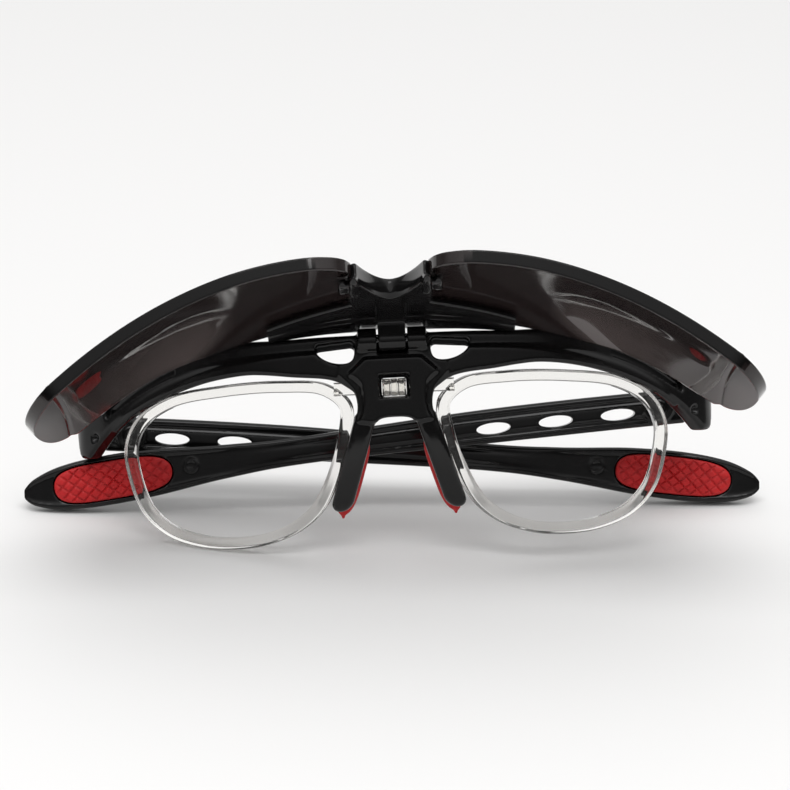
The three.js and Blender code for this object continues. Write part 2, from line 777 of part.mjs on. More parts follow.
function lowestPoint(mesh) {
  const point = new THREE.Vector3();
  const lowest = new THREE.Vector3(0, 0, Infinity);
  const positions = mesh.geometry.attributes.position;
  for (let i = 0; i < positions.count; i += 1) {
    point.fromBufferAttribute(positions, i).applyMatrix4(mesh.matrixWorld);
    if (point.z < lowest.z) lowest.copy(point);
  }
  return lowest;
}

const model = new THREE.Group();
model.add(glasses);
const settleSteps = 12;
for (let i = 0; i < settleSteps; i += 1) {
  model.updateMatrixWorld(true);
  const feet = ['prescription_insert', 'left_temple', 'right_temple'];
  const [front, behindRight, behindLeft] = feet.map((name) => lowestPoint(model.getObjectByName(name)));
  const normal = behindLeft.clone().sub(front).cross(behindRight.clone().sub(front)).normalize();
  if (normal.z < 0) normal.negate();
  const turn = new THREE.Quaternion().setFromUnitVectors(normal, new THREE.Vector3(0, 0, 1));
  glasses.quaternion.premultiply(turn);
}
model.updateMatrixWorld(true);
const bounds = new THREE.Box3().setFromObject(model, true);
const middle = bounds.getCenter(new THREE.Vector3());
glasses.position.set(-middle.x, -middle.y, -bounds.min.z);

export default model;
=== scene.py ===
import bpy
import bmesh
import json
import math
import numpy as np
from mathutils import Matrix, Vector


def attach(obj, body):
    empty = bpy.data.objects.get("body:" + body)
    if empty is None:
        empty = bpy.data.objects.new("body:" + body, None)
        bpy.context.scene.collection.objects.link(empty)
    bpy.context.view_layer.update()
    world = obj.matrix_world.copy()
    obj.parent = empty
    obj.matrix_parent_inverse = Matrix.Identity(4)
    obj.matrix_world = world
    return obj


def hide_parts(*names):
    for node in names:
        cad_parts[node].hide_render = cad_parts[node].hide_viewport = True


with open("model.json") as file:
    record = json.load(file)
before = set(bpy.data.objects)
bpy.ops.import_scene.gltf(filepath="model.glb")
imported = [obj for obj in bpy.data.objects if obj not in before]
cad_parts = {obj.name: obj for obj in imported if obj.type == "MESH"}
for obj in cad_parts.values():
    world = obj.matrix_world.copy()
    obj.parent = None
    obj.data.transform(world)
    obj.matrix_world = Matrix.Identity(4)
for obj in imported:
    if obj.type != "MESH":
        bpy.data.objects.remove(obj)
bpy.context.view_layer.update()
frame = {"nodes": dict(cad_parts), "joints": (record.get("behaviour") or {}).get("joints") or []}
scene = bpy.context.scene
scene.view_settings.view_transform = "Standard"
print("frame loaded:", len(frame["nodes"]), "solids")

# Everything is drawn in millimetres on the worn front, then set in place by the three hinges
flip = {"axisY": 1.2, "axisZ": 9.0, "raised": 106.0}
joints = {joint["name"]: joint for joint in frame["joints"]}
across = Vector(joints["flip_hinge"]["axis"]).normalized()
upward = Vector(joints["right_temple_hinge"]["axis"]).normalized()
facing = Matrix((across, upward.cross(across), upward)).transposed()
pivot = Vector((0, flip["axisY"], flip["axisZ"]))
bridgeMiddle = Vector(joints["flip_hinge"]["pos_m"]) - facing @ pivot * 0.001
wornPlace = Matrix.Translation(bridgeMiddle) @ facing.to_4x4() @ Matrix.Scale(0.001, 4)
lift = Matrix.Rotation(math.radians(-flip["raised"]), 4, "X")
raisedPlace = wornPlace @ Matrix.Translation(pivot) @ lift @ Matrix.Translation(-pivot)
sides = {"left": 1, "right": -1}
hingeAt = {}
for sideName in sides:
    hingeAt[sideName] = wornPlace.inverted() @ Vector(joints[sideName + "_temple_hinge"]["pos_m"])


# Shape helpers

def smoothStep(low, high, value):
    share = np.clip((value - low) / (high - low), 0, 1)
    return share * share * (3 - 2 * share)


def mix(a, b, share):
    return a + (b - a) * share


def roundedBox(halfDeep, halfHigh, corner, steps=6):
    ring = []
    for signDeep, signHigh, begin in ((1, 1, 0), (-1, 1, 90), (-1, -1, 180), (1, -1, 270)):
        for i in range(steps + 1):
            angle = math.radians(begin + 90 * i / steps)
            deep = signDeep * (halfDeep - corner) + corner * math.cos(angle)
            high = signHigh * (halfHigh - corner) + corner * math.sin(angle)
            ring.append((deep, high))
    return ring


def denseRing(ring, spacing):
    dense = []
    for here, ahead in zip(ring, ring[1:] + ring[:1]):
        count = max(1, round(math.dist(here, ahead) / spacing))
        for i in range(count):
            dense.append(tuple(mix(a, b, i / count) for a, b in zip(here, ahead)))
    return dense


def linked(name, data):
    piece = bpy.data.objects.new(name, data)
    scene.collection.objects.link(piece)
    return piece


def cleaned(mesh, distance):
    shape = bmesh.new()
    shape.from_mesh(mesh)
    bmesh.ops.remove_doubles(shape, verts=shape.verts, dist=distance)
    bmesh.ops.recalc_face_normals(shape, faces=shape.faces)
    shape.to_mesh(mesh)
    shape.free()
    return mesh


def addMesh(name, points, faces):
    mesh = bpy.data.meshes.new(name)
    mesh.from_pydata([tuple(point) for point in points], [], faces)
    return linked(name, cleaned(mesh, 1e-5))


def gridFaces(rows, count, loop=False):
    faces = []
    for i in range(rows if loop else rows - 1):
        after = (i + 1) % rows
        for j in range(count):
            turn = (j + 1) % count
            faces.append((i * count + j, i * count + turn, after * count + turn, after * count + j))
    return faces


# Closed skin over rings of equal count, capped at both ends unless it runs round in a loop
def skin(name, rings, loop=False):
    count = len(rings[0])
    points = [point for ring in rings for point in ring]
    faces = gridFaces(len(rings), count, loop)
    if not loop:
        faces.append(tuple(range(count)))
        faces.append(tuple(range((len(rings) - 1) * count, len(rings) * count)))
    return addMesh(name, points, faces)


def slab(name, outline, front, back):
    rings = [[(x, depth, z) for x, z in outline] for depth in (front, back)]
    return skin(name, rings)


def barrel(name, radius, begin, end, axis, centre, sidesRound=40):
    rings = []
    for reach in (begin, end):
        ring = []
        for i in range(sidesRound):
            angle = 2 * math.pi * i / sidesRound
            a, b = radius * math.cos(angle), radius * math.sin(angle)
            spot = {"x": (reach, a, b), "y": (a, reach, b), "z": (a, b, reach)}[axis]
            ring.append(tuple(c + s for c, s in zip(centre, spot)))
        rings.append(ring)
    return skin(name, rings)


def block(name, low, high):
    outline = [(low[0], low[2]), (high[0], low[2]), (high[0], high[2]), (low[0], high[2])]
    return slab(name, outline, low[1], high[1])


def turnedForm(name, profile, steps=48):
    rings = []
    for i in range(steps):
        angle = 2 * math.pi * i / steps
        rings.append([(r * math.cos(angle), r * math.sin(angle), z) for r, z in profile])
    points = [point for ring in rings for point in ring]
    count = len(profile)
    faces = []
    for i in range(steps):
        after = (i + 1) % steps
        for j in range(count - 1):
            faces.append((i * count + j, after * count + j, after * count + j + 1, i * count + j + 1))
    return addMesh(name, points, faces)


def cubic(p1, p2, v1, v2, w):
    bend = (2 * p1 - 2 * p2 + v1 + v2) * w ** 3
    return bend + (-3 * p1 + 3 * p2 - 2 * v1 - v2) * w ** 2 + v1 * w + p1


def curveThrough(points, samples=400):
    knots = np.array(points, float)
    places = np.linspace(0, len(knots) - 1, samples)
    out = []
    for place in places:
        i = min(int(place), len(knots) - 2)
        w = place - i
        p0, p1 = knots[max(i - 1, 0)], knots[i]
        p2, p3 = knots[i + 1], knots[min(i + 2, len(knots) - 1)]
        out.append(cubic(p1, p2, (p2 - p0) / 2, (p3 - p1) / 2, w))
    return np.array(out)


def heightOver(points):
    path = curveThrough(points)
    return lambda x: float(np.interp(x, path[:, 0], path[:, 1]))


def bezier(a, b, c, d, steps=16):
    out = []
    for i in range(steps):
        t = i / steps
        w = ((1 - t) ** 3, 3 * t * (1 - t) ** 2, 3 * t * t * (1 - t), t ** 3)
        out.append(tuple(sum(k * p[n] for k, p in zip(w, (a, b, c, d))) for n in range(2)))
    return out


def joined(name, parts):
    shape = bmesh.new()
    for part in parts:
        shape.from_mesh(part.data)
        mesh = part.data
        bpy.data.objects.remove(part)
        bpy.data.meshes.remove(mesh)
    mesh = bpy.data.meshes.new(name)
    shape.to_mesh(mesh)
    shape.free()
    return linked(name, mesh)


# The modifiers' result, kept as a plain mesh
def settled(piece):
    bpy.context.view_layer.update()
    graph = bpy.context.evaluated_depsgraph_get()
    mesh = bpy.data.meshes.new_from_object(piece.evaluated_get(graph))
    old = piece.data
    piece.modifiers.clear()
    piece.data = mesh
    bpy.data.meshes.remove(old)
    return piece


def fused(piece, voxel, smoothing):
    melt = piece.modifiers.new("melt", "REMESH")
    melt.mode = "VOXEL"
    melt.voxel_size = voxel
    melt.use_smooth_shade = True
    if smoothing:
        polish = piece.modifiers.new("polish", "SMOOTH")
        polish.factor = 0.5
        polish.iterations = smoothing
    return settled(piece)


def carved(piece, cutters):
    tool = joined(piece.name + "Cut", cutters)
    cut = piece.modifiers.new("cut", "BOOLEAN")
    cut.operation = "DIFFERENCE"
    cut.solver = "EXACT"
    cut.use_self = True
    cut.object = tool
    settled(piece)
    bpy.data.objects.remove(tool)
    return piece


# One moulding: solids melted together, cut, then melted again so that its edges are softened
def moulded(name, parts, cuts, voxels, smoothing):
    body = fused(joined(name, parts), voxels[0], 0)
    carved(body, cuts)
    return fused(body, voxels[1], smoothing)


def finished(piece, place, body, nodes, material):
    piece.data.transform(place)
    for face in piece.data.polygons:
        face.use_smooth = True
    piece.data.materials.clear()
    piece.data.materials.append(material)
    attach(piece, body)
    if nodes:
        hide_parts(*nodes)
    return piece


# Shader groups

def nodeIn(tree, kind, at=(0, 0), **settings):
    node = tree.nodes.new(kind)
    node.location = at
    for key, value in settings.items():
        setattr(node, key, value)
    return node


def startGroup(name, inputs, outputs):
    tree = bpy.data.node_groups.new(name, "ShaderNodeTree")
    for socketName, value in inputs.items():
        socket = tree.interface.new_socket(socketName, in_out="INPUT", socket_type="NodeSocketFloat")
        socket.default_value = value
    for socketName in outputs:
        tree.interface.new_socket(socketName, in_out="OUTPUT", socket_type="NodeSocketFloat")
    return tree, nodeIn(tree, "NodeGroupInput", (-800, 0)), nodeIn(tree, "NodeGroupOutput", (600, 0))


def makeHandlingHaze():
    inputs = {"Spread": 180.0, "Polished": 0.12, "Hazed": 0.24}
    tree, start, end = startGroup("handlingHaze", inputs, ["Roughness"])
    where = nodeIn(tree, "ShaderNodeTexCoord", (-800, 300))
    cloud = nodeIn(tree, "ShaderNodeTexNoise", (-550, 200))
    cloud.inputs["Detail"].default_value = 5
    cloud.inputs["Roughness"].default_value = 0.62
    spread = nodeIn(tree, "ShaderNodeMapRange", (-250, 100))
    spread.inputs["From Min"].default_value = 0.35
    spread.inputs["From Max"].default_value = 0.7
    tree.links.new(where.outputs["Object"], cloud.inputs["Vector"])
    tree.links.new(start.outputs["Spread"], cloud.inputs["Scale"])
    tree.links.new(cloud.outputs["Fac"], spread.inputs["Value"])
    tree.links.new(start.outputs["Polished"], spread.inputs["To Min"])
    tree.links.new(start.outputs["Hazed"], spread.inputs["To Max"])
    tree.links.new(spread.outputs["Result"], end.inputs["Roughness"])
    return tree


def makeMouldGrain():
    inputs = {"Grain Size": 5200.0, "Flow Size": 260.0, "Flow": 0.35}
    tree, start, end = startGroup("mouldGrain", inputs, ["Height"])
    where = nodeIn(tree, "ShaderNodeTexCoord", (-800, 300))
    grain = nodeIn(tree, "ShaderNodeTexNoise", (-550, 250))
    grain.inputs["Detail"].default_value = 2
    flow = nodeIn(tree, "ShaderNodeTexNoise", (-550, 0))
    flow.inputs["Detail"].default_value = 1
    blend = nodeIn(tree, "ShaderNodeMix", (-200, 100), data_type="FLOAT")
    tree.links.new(where.outputs["Object"], grain.inputs["Vector"])
    tree.links.new(where.outputs["Object"], flow.inputs["Vector"])
    tree.links.new(start.outputs["Grain Size"], grain.inputs["Scale"])
    tree.links.new(start.outputs["Flow Size"], flow.inputs["Scale"])
    tree.links.new(start.outputs["Flow"], blend.inputs["Factor"])
    tree.links.new(grain.outputs["Fac"], blend.inputs["A"])
    tree.links.new(flow.outputs["Fac"], blend.inputs["B"])
    tree.links.new(blend.outputs["Result"], end.inputs["Height"])
    return tree


handlingHaze = makeHandlingHaze()
mouldGrain = makeMouldGrain()


def startMaterial(name):
    material = bpy.data.materials.new(name)
    material.use_nodes = True
    tree = material.node_tree
    shader = tree.nodes["Principled BSDF"]
    return material, tree, shader


def placeGroup(tree, group, at, **values):
    node = nodeIn(tree, "ShaderNodeGroup", at, node_tree=group)
    for key, value in values.items():
        node.inputs[key].default_value = value
    return node


def addHaze(tree, shader, spread, polished, hazed):
    haze = placeGroup(tree, handlingHaze, (-500, 100), Spread=spread, Polished=polished, Hazed=hazed)
    tree.links.new(haze.outputs["Roughness"], shader.inputs["Roughness"])


def addGrain(tree, shader, strength, depth, size=5200.0, flow=0.35):
    grain = placeGroup(tree, mouldGrain, (-700, -250), **{"Grain Size": size, "Flow": flow})
    bump = nodeIn(tree, "ShaderNodeBump", (-300, -250))
    bump.inputs["Strength"].default_value = strength
    bump.inputs["Distance"].default_value = depth
    tree.links.new(grain.outputs["Height"], bump.inputs["Height"])
    tree.links.new(bump.outputs["Normal"], shader.inputs["Normal"])


def colourDrift(tree, shader, dark, light, scale):
    where = nodeIn(tree, "ShaderNodeTexCoord", (-900, 400))
    cloud = nodeIn(tree, "ShaderNodeTexNoise", (-700, 400))
    cloud.inputs["Scale"].default_value = scale
    cloud.inputs["Detail"].default_value = 3
    ramp = nodeIn(tree, "ShaderNodeValToRGB", (-500, 400))
    ramp.color_ramp.elements[0].position = 0.35
    ramp.color_ramp.elements[1].position = 0.68
    ramp.color_ramp.elements[0].color = (*dark, 1)
    ramp.color_ramp.elements[1].color = (*light, 1)
    tree.links.new(where.outputs["Object"], cloud.inputs["Vector"])
    tree.links.new(cloud.outputs["Fac"], ramp.inputs["Fac"])
    tree.links.new(ramp.outputs["Color"], shader.inputs["Base Color"])


def makeBlackGloss():
    material, tree, shader = startMaterial("glossBlackMoulding")
    colourDrift(tree, shader, (0.0040, 0.0039, 0.0040), (0.0065, 0.0062, 0.0063), 140)
    addHaze(tree, shader, 170, 0.10, 0.20)
    addGrain(tree, shader, 0.04, 0.00004)
    shader.inputs["IOR"].default_value = 1.5
    shader.inputs["Specular IOR Level"].default_value = 0.3
    return material


# How the lens attribute of tinting and painted light is read: nought on its cut edge, whose darker colour
# and weaker gloss are painted shade, this on plain lens, one in the flute, whose lighter colour is partly a
# thinner tinted layer and mostly painted reflection
plainTint = 0.1


def makeSmokeLens():
    material, tree, shader = startMaterial("smokeLens")
    # The colour ramp paints shade on the cut edge and a reflection in the flute; plain lens keeps its own
    # smoke colour
    mark = nodeIn(tree, "ShaderNodeAttribute", (-700, 450), attribute_name="tintAndPaintedLight")
    tintAndPaintedLight = nodeIn(tree, "ShaderNodeValToRGB", (-450, 450))
    tintAndPaintedLight.color_ramp.elements[0].color = (0.004, 0.0036, 0.0036, 1)
    tintAndPaintedLight.color_ramp.elements[1].color = (0.115, 0.092, 0.088, 1)
    tintAndPaintedLight.color_ramp.elements.new(plainTint).color = (0.024, 0.0172, 0.0165, 1)
    tree.links.new(mark.outputs["Fac"], tintAndPaintedLight.inputs["Fac"])
    tree.links.new(tintAndPaintedLight.outputs["Color"], shader.inputs["Base Color"])
    # The cut edge's gloss is turned down along with its colour, so that it shows painted shade instead of
    # its reflection
    gloss = nodeIn(tree, "ShaderNodeMapRange", (-450, 150))
    gloss.inputs["From Max"].default_value = plainTint
    gloss.inputs["To Min"].default_value = 0.1
    gloss.inputs["To Max"].default_value = 0.5
    tree.links.new(mark.outputs["Fac"], gloss.inputs["Value"])
    tree.links.new(gloss.outputs["Result"], shader.inputs["Specular IOR Level"])
    addHaze(tree, shader, 120, 0.03, 0.06)
    shader.inputs["IOR"].default_value = 1.5
    shader.inputs["Transmission Weight"].default_value = 0.35
    return material


def makeClearPlastic():
    material, tree, shader = startMaterial("clearPlastic")
    shader.inputs["Base Color"].default_value = (0.955, 0.945, 0.92, 1)
    addHaze(tree, shader, 150, 0.01, 0.05)
    addGrain(tree, shader, 0.02, 0.00002, flow=0.8)
    shader.inputs["IOR"].default_value = 1.5
    shader.inputs["Transmission Weight"].default_value = 1.0
    return material


def makeRedRubber():
    material, tree, shader = startMaterial("redRubber")
    colourDrift(tree, shader, (0.46, 0.012, 0.014), (0.56, 0.018, 0.020), 420)
    addHaze(tree, shader, 300, 0.42, 0.58)
    addGrain(tree, shader, 0.35, 0.00006, size=7000.0, flow=0.15)
    shader.inputs["Sheen Weight"].default_value = 0.03
    shader.inputs["Specular IOR Level"].default_value = 0.3
    shader.inputs["Sheen Roughness"].default_value = 0.4
    return material


def makeSteel():
    material, tree, shader = startMaterial("hingeSteel")
    shader.inputs["Metallic"].default_value = 1.0
    colourDrift(tree, shader, (0.44, 0.44, 0.45), (0.58, 0.58, 0.59), 900)
    addHaze(tree, shader, 900, 0.22, 0.38)
    addGrain(tree, shader, 0.1, 0.00002)
    return material


blackGloss = makeBlackGloss()
smokeLens = makeSmokeLens()
clearPlastic = makeClearPlastic()
redRubber = makeRedRubber()
hingeSteel = makeSteel()
print("materials made")


# The wrapped front, shared by the brow bar, the lenses and their carrier

wrap = {"depth": 27.5, "reach": 68.0, "power": 2.5}


def wrapAt(x):
    return wrap["depth"] * (abs(x) / wrap["reach"]) ** wrap["power"]


def onFront(x, ahead, z):
    slope = math.copysign(wrap["power"] / max(abs(x), 1e-6) * wrapAt(x), x)
    length = math.hypot(1, slope)
    return (x + ahead * slope / length, wrapAt(x) - ahead / length, z)


# Main frame: one moulding of brow bar, bridge, nose arms and hinge lugs

brow = {
    "depth": 5.0, "half": 2.4, "corner": 0.95, "middle": 8.7, "endDrop": 15.0, "dropPower": 3.6,
    "reach": 60.0, "lugHalf": 4.5, "lugDrop": 0.9, "flarePower": 8, "topTrim": 1.0, "lipDepth": 2.7,
    "lipRise": 0.45,
    "lipDrop": [
        (7, 7.4), (8.6, 6.2), (10.6, 4.9), (13.4, 4.1), (19, 3.4), (24, 2.5), (28, 1.9), (34, 1.6),
        (42, 1.4), (50, 1.1), (60, 0.4),
    ],
    "lipSpan": (7.4, 55.0), "lipFade": 50.0, "lipRoot": 1.2, "riseFade": (50, 57), "trimFade": (20, 34),
    "voxels": (0.22, 0.245), "smoothing": 6,
}
lugShape = {"turnRadius": 3.5, "thickness": 4.2, "hingeHalf": 2.6}
bridge = {
    "depth": 3.6, "top": 6.6, "topHalf": 4.5, "shoulder": 9.6, "waist": 6.6, "waistDrop": 1.6,
    "panelTop": 5.7, "panelHalf": 5.3, "panelInset": 0.55, "panelRise": 0.5, "archTop": -5.6,
    "archHalf": 3.6, "window": (4.7, 3.5), "recess": (5.8, 4.5), "recessDepth": 1.7, "recessRise": 0.3,
}
noseArm = {"tipReach": 10.6, "tipHeight": -21.4, "half": 2.1, "sweep": 5.0}
vent = {
    "offset": 10.9, "height": 7.0, "width": 7.4, "rise": 4.3, "ledge": 1.5, "ledgeAt": (1.5, 1.9),
    "corner": 0.7, "slope": 0.5,
}
browSlot = {"begin": 42.0, "end": 56.0, "height": 2.0, "depth": 1.7, "rise": 0.35}
dimple = {"at": 58.2, "drop": 2.1, "radius": 0.75}
knuckle = {"radius": 2.2, "half": 2.6, "gap": 0.3, "earReach": 6.5, "earRadius": 2.3, "earFrom": 2.4}
hingeScrew = {"radius": 0.8, "headRadius": 1.3, "headHeight": 0.4, "tongueHeight": 2.2, "clearance": 0.25}
cutFront = -4  # where a cut starts, well ahead of the moulding


def barMiddle(x):
    share = abs(x) / brow["reach"]
    return brow["middle"] - brow["endDrop"] * share ** brow["dropPower"] - brow["lugDrop"] * share ** 10


def barHalf(x):
    return mix(brow["half"], brow["lugHalf"], (abs(x) / brow["reach"]) ** brow["flarePower"])


def barDepth(x):
    return mix(brow["depth"], lugShape["thickness"], (x / brow["reach"]) ** 2)


def armDown(z):
    return max(0, (bridge["archTop"] - z) / (bridge["archTop"] - noseArm["tipHeight"]))


def armReach(z):
    return mix(bridge["archHalf"] + noseArm["half"], noseArm["tipReach"], armDown(z))


def armLean(z):
    return noseArm["sweep"] * armDown(z) ** 2


def browBar():
    rings = []
    for i in range(161):
        x = brow["reach"] * (i / 80 - 1)
        halfDeep, half = barDepth(x) / 2, barHalf(x)
        fade = 1 - smoothStep(*brow["riseFade"], abs(x))
        trim = brow["topTrim"] * (1 - smoothStep(*brow["trimFade"], abs(x)))
        ring = []
        for deep, high in denseRing(roundedBox(halfDeep, half, brow["corner"]), 0.35):
            front = smoothStep(0, halfDeep * 0.6, deep)
            lower = trim * float(smoothStep(0, half, high))
            ahead = deep - halfDeep - brow["lipRise"] * front * fade
            ring.append(onFront(x, ahead, barMiddle(x) + high - lower))
        rings.append(ring)
    size = min(len(ring) for ring in rings)
    return skin("browBar", [evened(ring, size) for ring in rings])


lipDrop = heightOver(brow["lipDrop"])


def browLip(side):
    rings = []
    for i in range(91):
        x = mix(*brow["lipSpan"], i / 90)
        top = barMiddle(x) - barHalf(x) + brow["lipRoot"]
        high = (lipDrop(x) + brow["lipRoot"]) / 2
        ends = float(smoothStep(brow["lipSpan"][1], brow["lipFade"], x)) if x > brow["lipFade"] else 1.0
        deepHalf = mix(0.9, brow["lipDepth"] / 2, ends)
        back = deepHalf + 0.5 * (1 - ends)
        ring = roundedBox(deepHalf, high, min(0.7, high * 0.9), 5)
        rings.append([onFront(side * x, deep - back, top - high + up) for deep, up in ring])
    return skin("browLip", rings)


def evened(ring, count):
    points = np.array(ring + ring[:1])
    steps = np.r_[0, np.cumsum(np.linalg.norm(np.diff(points, axis=0), axis=1))]
    places = np.linspace(0, steps[-1], count, endpoint=False)
    return [tuple(np.interp(place, steps, points[:, n]) for n in range(3)) for place in places]


def hingeLug(side, hinge):
    half = lugShape["thickness"] / 2
    root = onFront(brow["reach"], -half, barMiddle(brow["reach"]))
    slope = wrap["power"] / brow["reach"] * wrapAt(brow["reach"])
    begin = math.atan(slope)
    radius = lugShape["turnRadius"]
    centre = (root[0] - radius * math.sin(begin), root[1] + radius * math.cos(begin))
    rings = []

    def place(x, y, angle, share):
        narrowing = float(smoothStep(0.5, 1.0, share))
        high = mix(brow["lugHalf"], lugShape["hingeHalf"], narrowing)
        middle = mix(root[2], hinge.z, narrowing)
        ring = []
        for deep, up in roundedBox(half, high, 1.0):
            outward = x + deep * math.sin(angle)
            ring.append((side * outward, y - deep * math.cos(angle), middle + up))
        rings.append(ring)

    for i in range(15):
        angle = mix(begin, math.pi / 2, i / 14)
        place(centre[0] + radius * math.sin(angle), centre[1] - radius * math.cos(angle), angle, i / 14)
    place(abs(hinge.x), hinge.y, math.pi / 2, 1)
    return skin("lug", rings)


def bridgeOutline(top, topHalf, inset):
    waist, foot = bridge["waist"] - inset, bridge["archHalf"] + 2 * noseArm["half"] - inset
    low = bridge["archTop"]
    shoulder, drop = bridge["shoulder"], 0
    right = [(topHalf, top)]
    if inset == 0:
        right.append((shoulder, barMiddle(shoulder)))
        waist, drop = waist + 0.7, bridge["waistDrop"]
        right += bezier((shoulder + 0.8, 2.7), (shoulder - 0.4, 1.8), (waist + 0.4, 0.4), (waist, -drop))
    else:
        right += bezier((waist + 2.4, 2.8), (waist + 0.8, 1.8), (waist, 1), (waist, 0))
    right += bezier((waist, -drop), (waist - 0.4, low + 2.4), (waist - 0.2, low + 1), (foot, low - 1))
    right += bezier((bridge["archHalf"], low - 1), (bridge["archHalf"] - 0.4, low), (1.5, low), (0, low))
    return right + [(0, low)] + [(-x, z) for x, z in reversed(right)]


def noseArmForm(side):
    rings = []
    steps = 40
    top, foot = bridge["archTop"] + 0.6, noseArm["tipHeight"] - noseArm["half"]
    for i in range(steps + 1):
        z = mix(top, foot, 1 - (1 - i / steps) ** 1.6)
        fromTip = max(0, 1 - (z - foot) / noseArm["half"])
        end = math.sqrt(max(0.03, 1 - fromTip ** 2))
        halfDeep = bridge["depth"] / 2 * (0.62 + 0.38 * end)
        ring = roundedBox(noseArm["half"] * end, halfDeep, 0.95 * max(end, 0.35))
        rings.append([
            (side * (armReach(z) + deep), bridge["depth"] / 2 + armLean(z) + high, z) for deep, high in ring
        ])
    return skin("noseArm", rings)


def ventOutline(side, ledge):
    half, rise, middle = vent["width"] / 2, vent["rise"], vent["height"]
    inner, outer = vent["offset"] - half, vent["offset"] + half
    top, foot = middle + rise / 2 - ledge, middle - rise / 2
    corner, outerTop = vent["corner"], top - vent["slope"]
    lowest = (vent["offset"] - half * 0.35, foot)
    outline = [(inner, top - corner), (inner + corner * 0.3, top - corner * 0.3), (inner + corner, top)]
    outline += [(outer - corner, outerTop), (outer - corner * 0.3, outerTop - corner * 0.3)]
    right = (outer, outerTop - corner)
    outline += bezier(right, (outer, middle - rise * 0.15), (outer - half * 0.7, foot), lowest)
    outline += bezier(lowest, (inner, foot), (inner, middle - rise * 0.2), (inner, top - corner))[:-1]
    return [(side * x, z) for x, z in outline]


def browPocket(side):
    ring = roundedBox(browSlot["depth"], browSlot["height"] / 2, 0.3, 3)
    rings = []
    for i in range(13):
        x = mix(browSlot["begin"], browSlot["end"], i / 12)
        middle = barMiddle(x) + browSlot["rise"]
        rings.append([onFront(side * x, deep, middle + high) for deep, high in ring])
    return skin("browPocket", rings)


def hingeCuts(hinge):
    slotHalf = hingeScrew["tongueHeight"] / 2 + knuckle["gap"]
    reach = lugShape["thickness"] / 2 + knuckle["gap"]
    centre = tuple(hinge)
    parts = [barrel("slot", reach, -slotHalf, slotHalf, "z", centre)]
    low = (hinge.x - reach, hinge.y, hinge.z - slotHalf)
    parts.append(block("behind", low, (hinge.x + reach, hinge.y + reach, hinge.z + slotHalf)))
    half = lugShape["hingeHalf"]
    room = hingeScrew["clearance"]
    parts.append(barrel("hole", hingeScrew["radius"] + room, -half - 1, half - 0.5, "z", centre))
    head = hingeScrew["headHeight"] + 0.2 - half
    parts.append(barrel("head", hingeScrew["headRadius"] + room, -half - 1, head, "z", centre))
    return parts


def lugDimple(side):
    spot = onFront(side * dimple["at"], 0, barMiddle(dimple["at"]) - dimple["drop"])
    return barrel("dimple", dimple["radius"], -2.0, 0.75, "y", spot, 24)


axisSpot = (0, flip["axisY"], flip["axisZ"])


def mainFrameParts():
    plate = bridgeOutline(bridge["top"], bridge["topHalf"], 0)
    panel = bridgeOutline(bridge["panelTop"], bridge["panelHalf"], bridge["panelInset"])
    parts = [browBar(), slab("bridge", plate, 0, bridge["depth"])]
    parts.append(slab("panel", panel, -bridge["panelRise"], 1))
    half = lugShape["hingeHalf"]
    for name, side in sides.items():
        parts += [noseArmForm(side), hingeLug(side, hingeAt[name]), browLip(side)]
        parts.append(barrel("lugEnd", lugShape["thickness"] / 2, -half, half, "z", tuple(hingeAt[name])))
        begin, end = sorted((side * knuckle["earFrom"], side * knuckle["earReach"]))
        parts.append(barrel("ear", knuckle["earRadius"], begin, end, "x", axisSpot))
    return parts


def mainFrameCuts():
    cuts = []
    ledgeFront, ledgeBack = vent["ledgeAt"]
    for name, side in sides.items():
        cuts.append(slab("vent", ventOutline(side, 0), cutFront, ledgeBack))
        cuts.append(slab("ventRear", ventOutline(side, vent["ledge"]), ledgeFront, 12))
        cuts += [browPocket(side), lugDimple(side)]
        cuts += hingeCuts(hingeAt[name])
    reach, swing = knuckle["half"] + knuckle["gap"], knuckle["radius"] + knuckle["gap"]
    cuts.append(barrel("swing", swing, -reach, reach, "x", axisSpot))
    cuts.append(block("room", (-reach, -6, flip["axisZ"] - swing), (reach, flip["axisY"] + swing, 14)))
    wide, high = bridge["window"]
    cuts.append(block("window", (-wide / 2, cutFront, -high / 2), (wide / 2, 8, high / 2)))
    wide, high = bridge["recess"]
    rise = bridge["recessRise"]
    low = (-wide / 2, cutFront, -high / 2 + rise)
    cuts.append(block("recess", low, (wide / 2, bridge["recessDepth"], high / 2 + rise)))
    return cuts


def makeMainFrame():
    body = moulded("mainFrame", mainFrameParts(), mainFrameCuts(), brow["voxels"], brow["smoothing"])
    return finished(body, wornPlace, "front", ["main_frame"], blackGloss)


mainFrame = makeMainFrame()
print("main frame:", len(mainFrame.data.polygons), "faces")


# Prescription insert: two clear rims with a lens groove, a bar and a ribbed tab

rim = {
    "inner": 7.7, "outer": 51.9, "behind": 10.4, "height": -13.83, "turn": 12.0, "width": 2.3, "depth": 2.8,
    "outline": [
        (-3, 15.5), (8.6, 15.9), (17.4, 14.9), (22, 11), (21.6, 4.6), (19.7, -1.6), (15.9, -8.9),
        (11.2, -12.9), (5.4, -15.2), (-0.7, -16), (-8, -15.5), (-15, -13), (-19.8, -8.4), (-22.2, -2),
        (-22.8, 4.4), (-20.2, 9.8), (-13.6, 13.8),
    ],
    "barPoint": (19.2, 13.8), "barHeight": 2.6, "barDepth": 2.4, "barGap": 0.3, "groove": 0.55,
    "tabGap": 0.12,
}


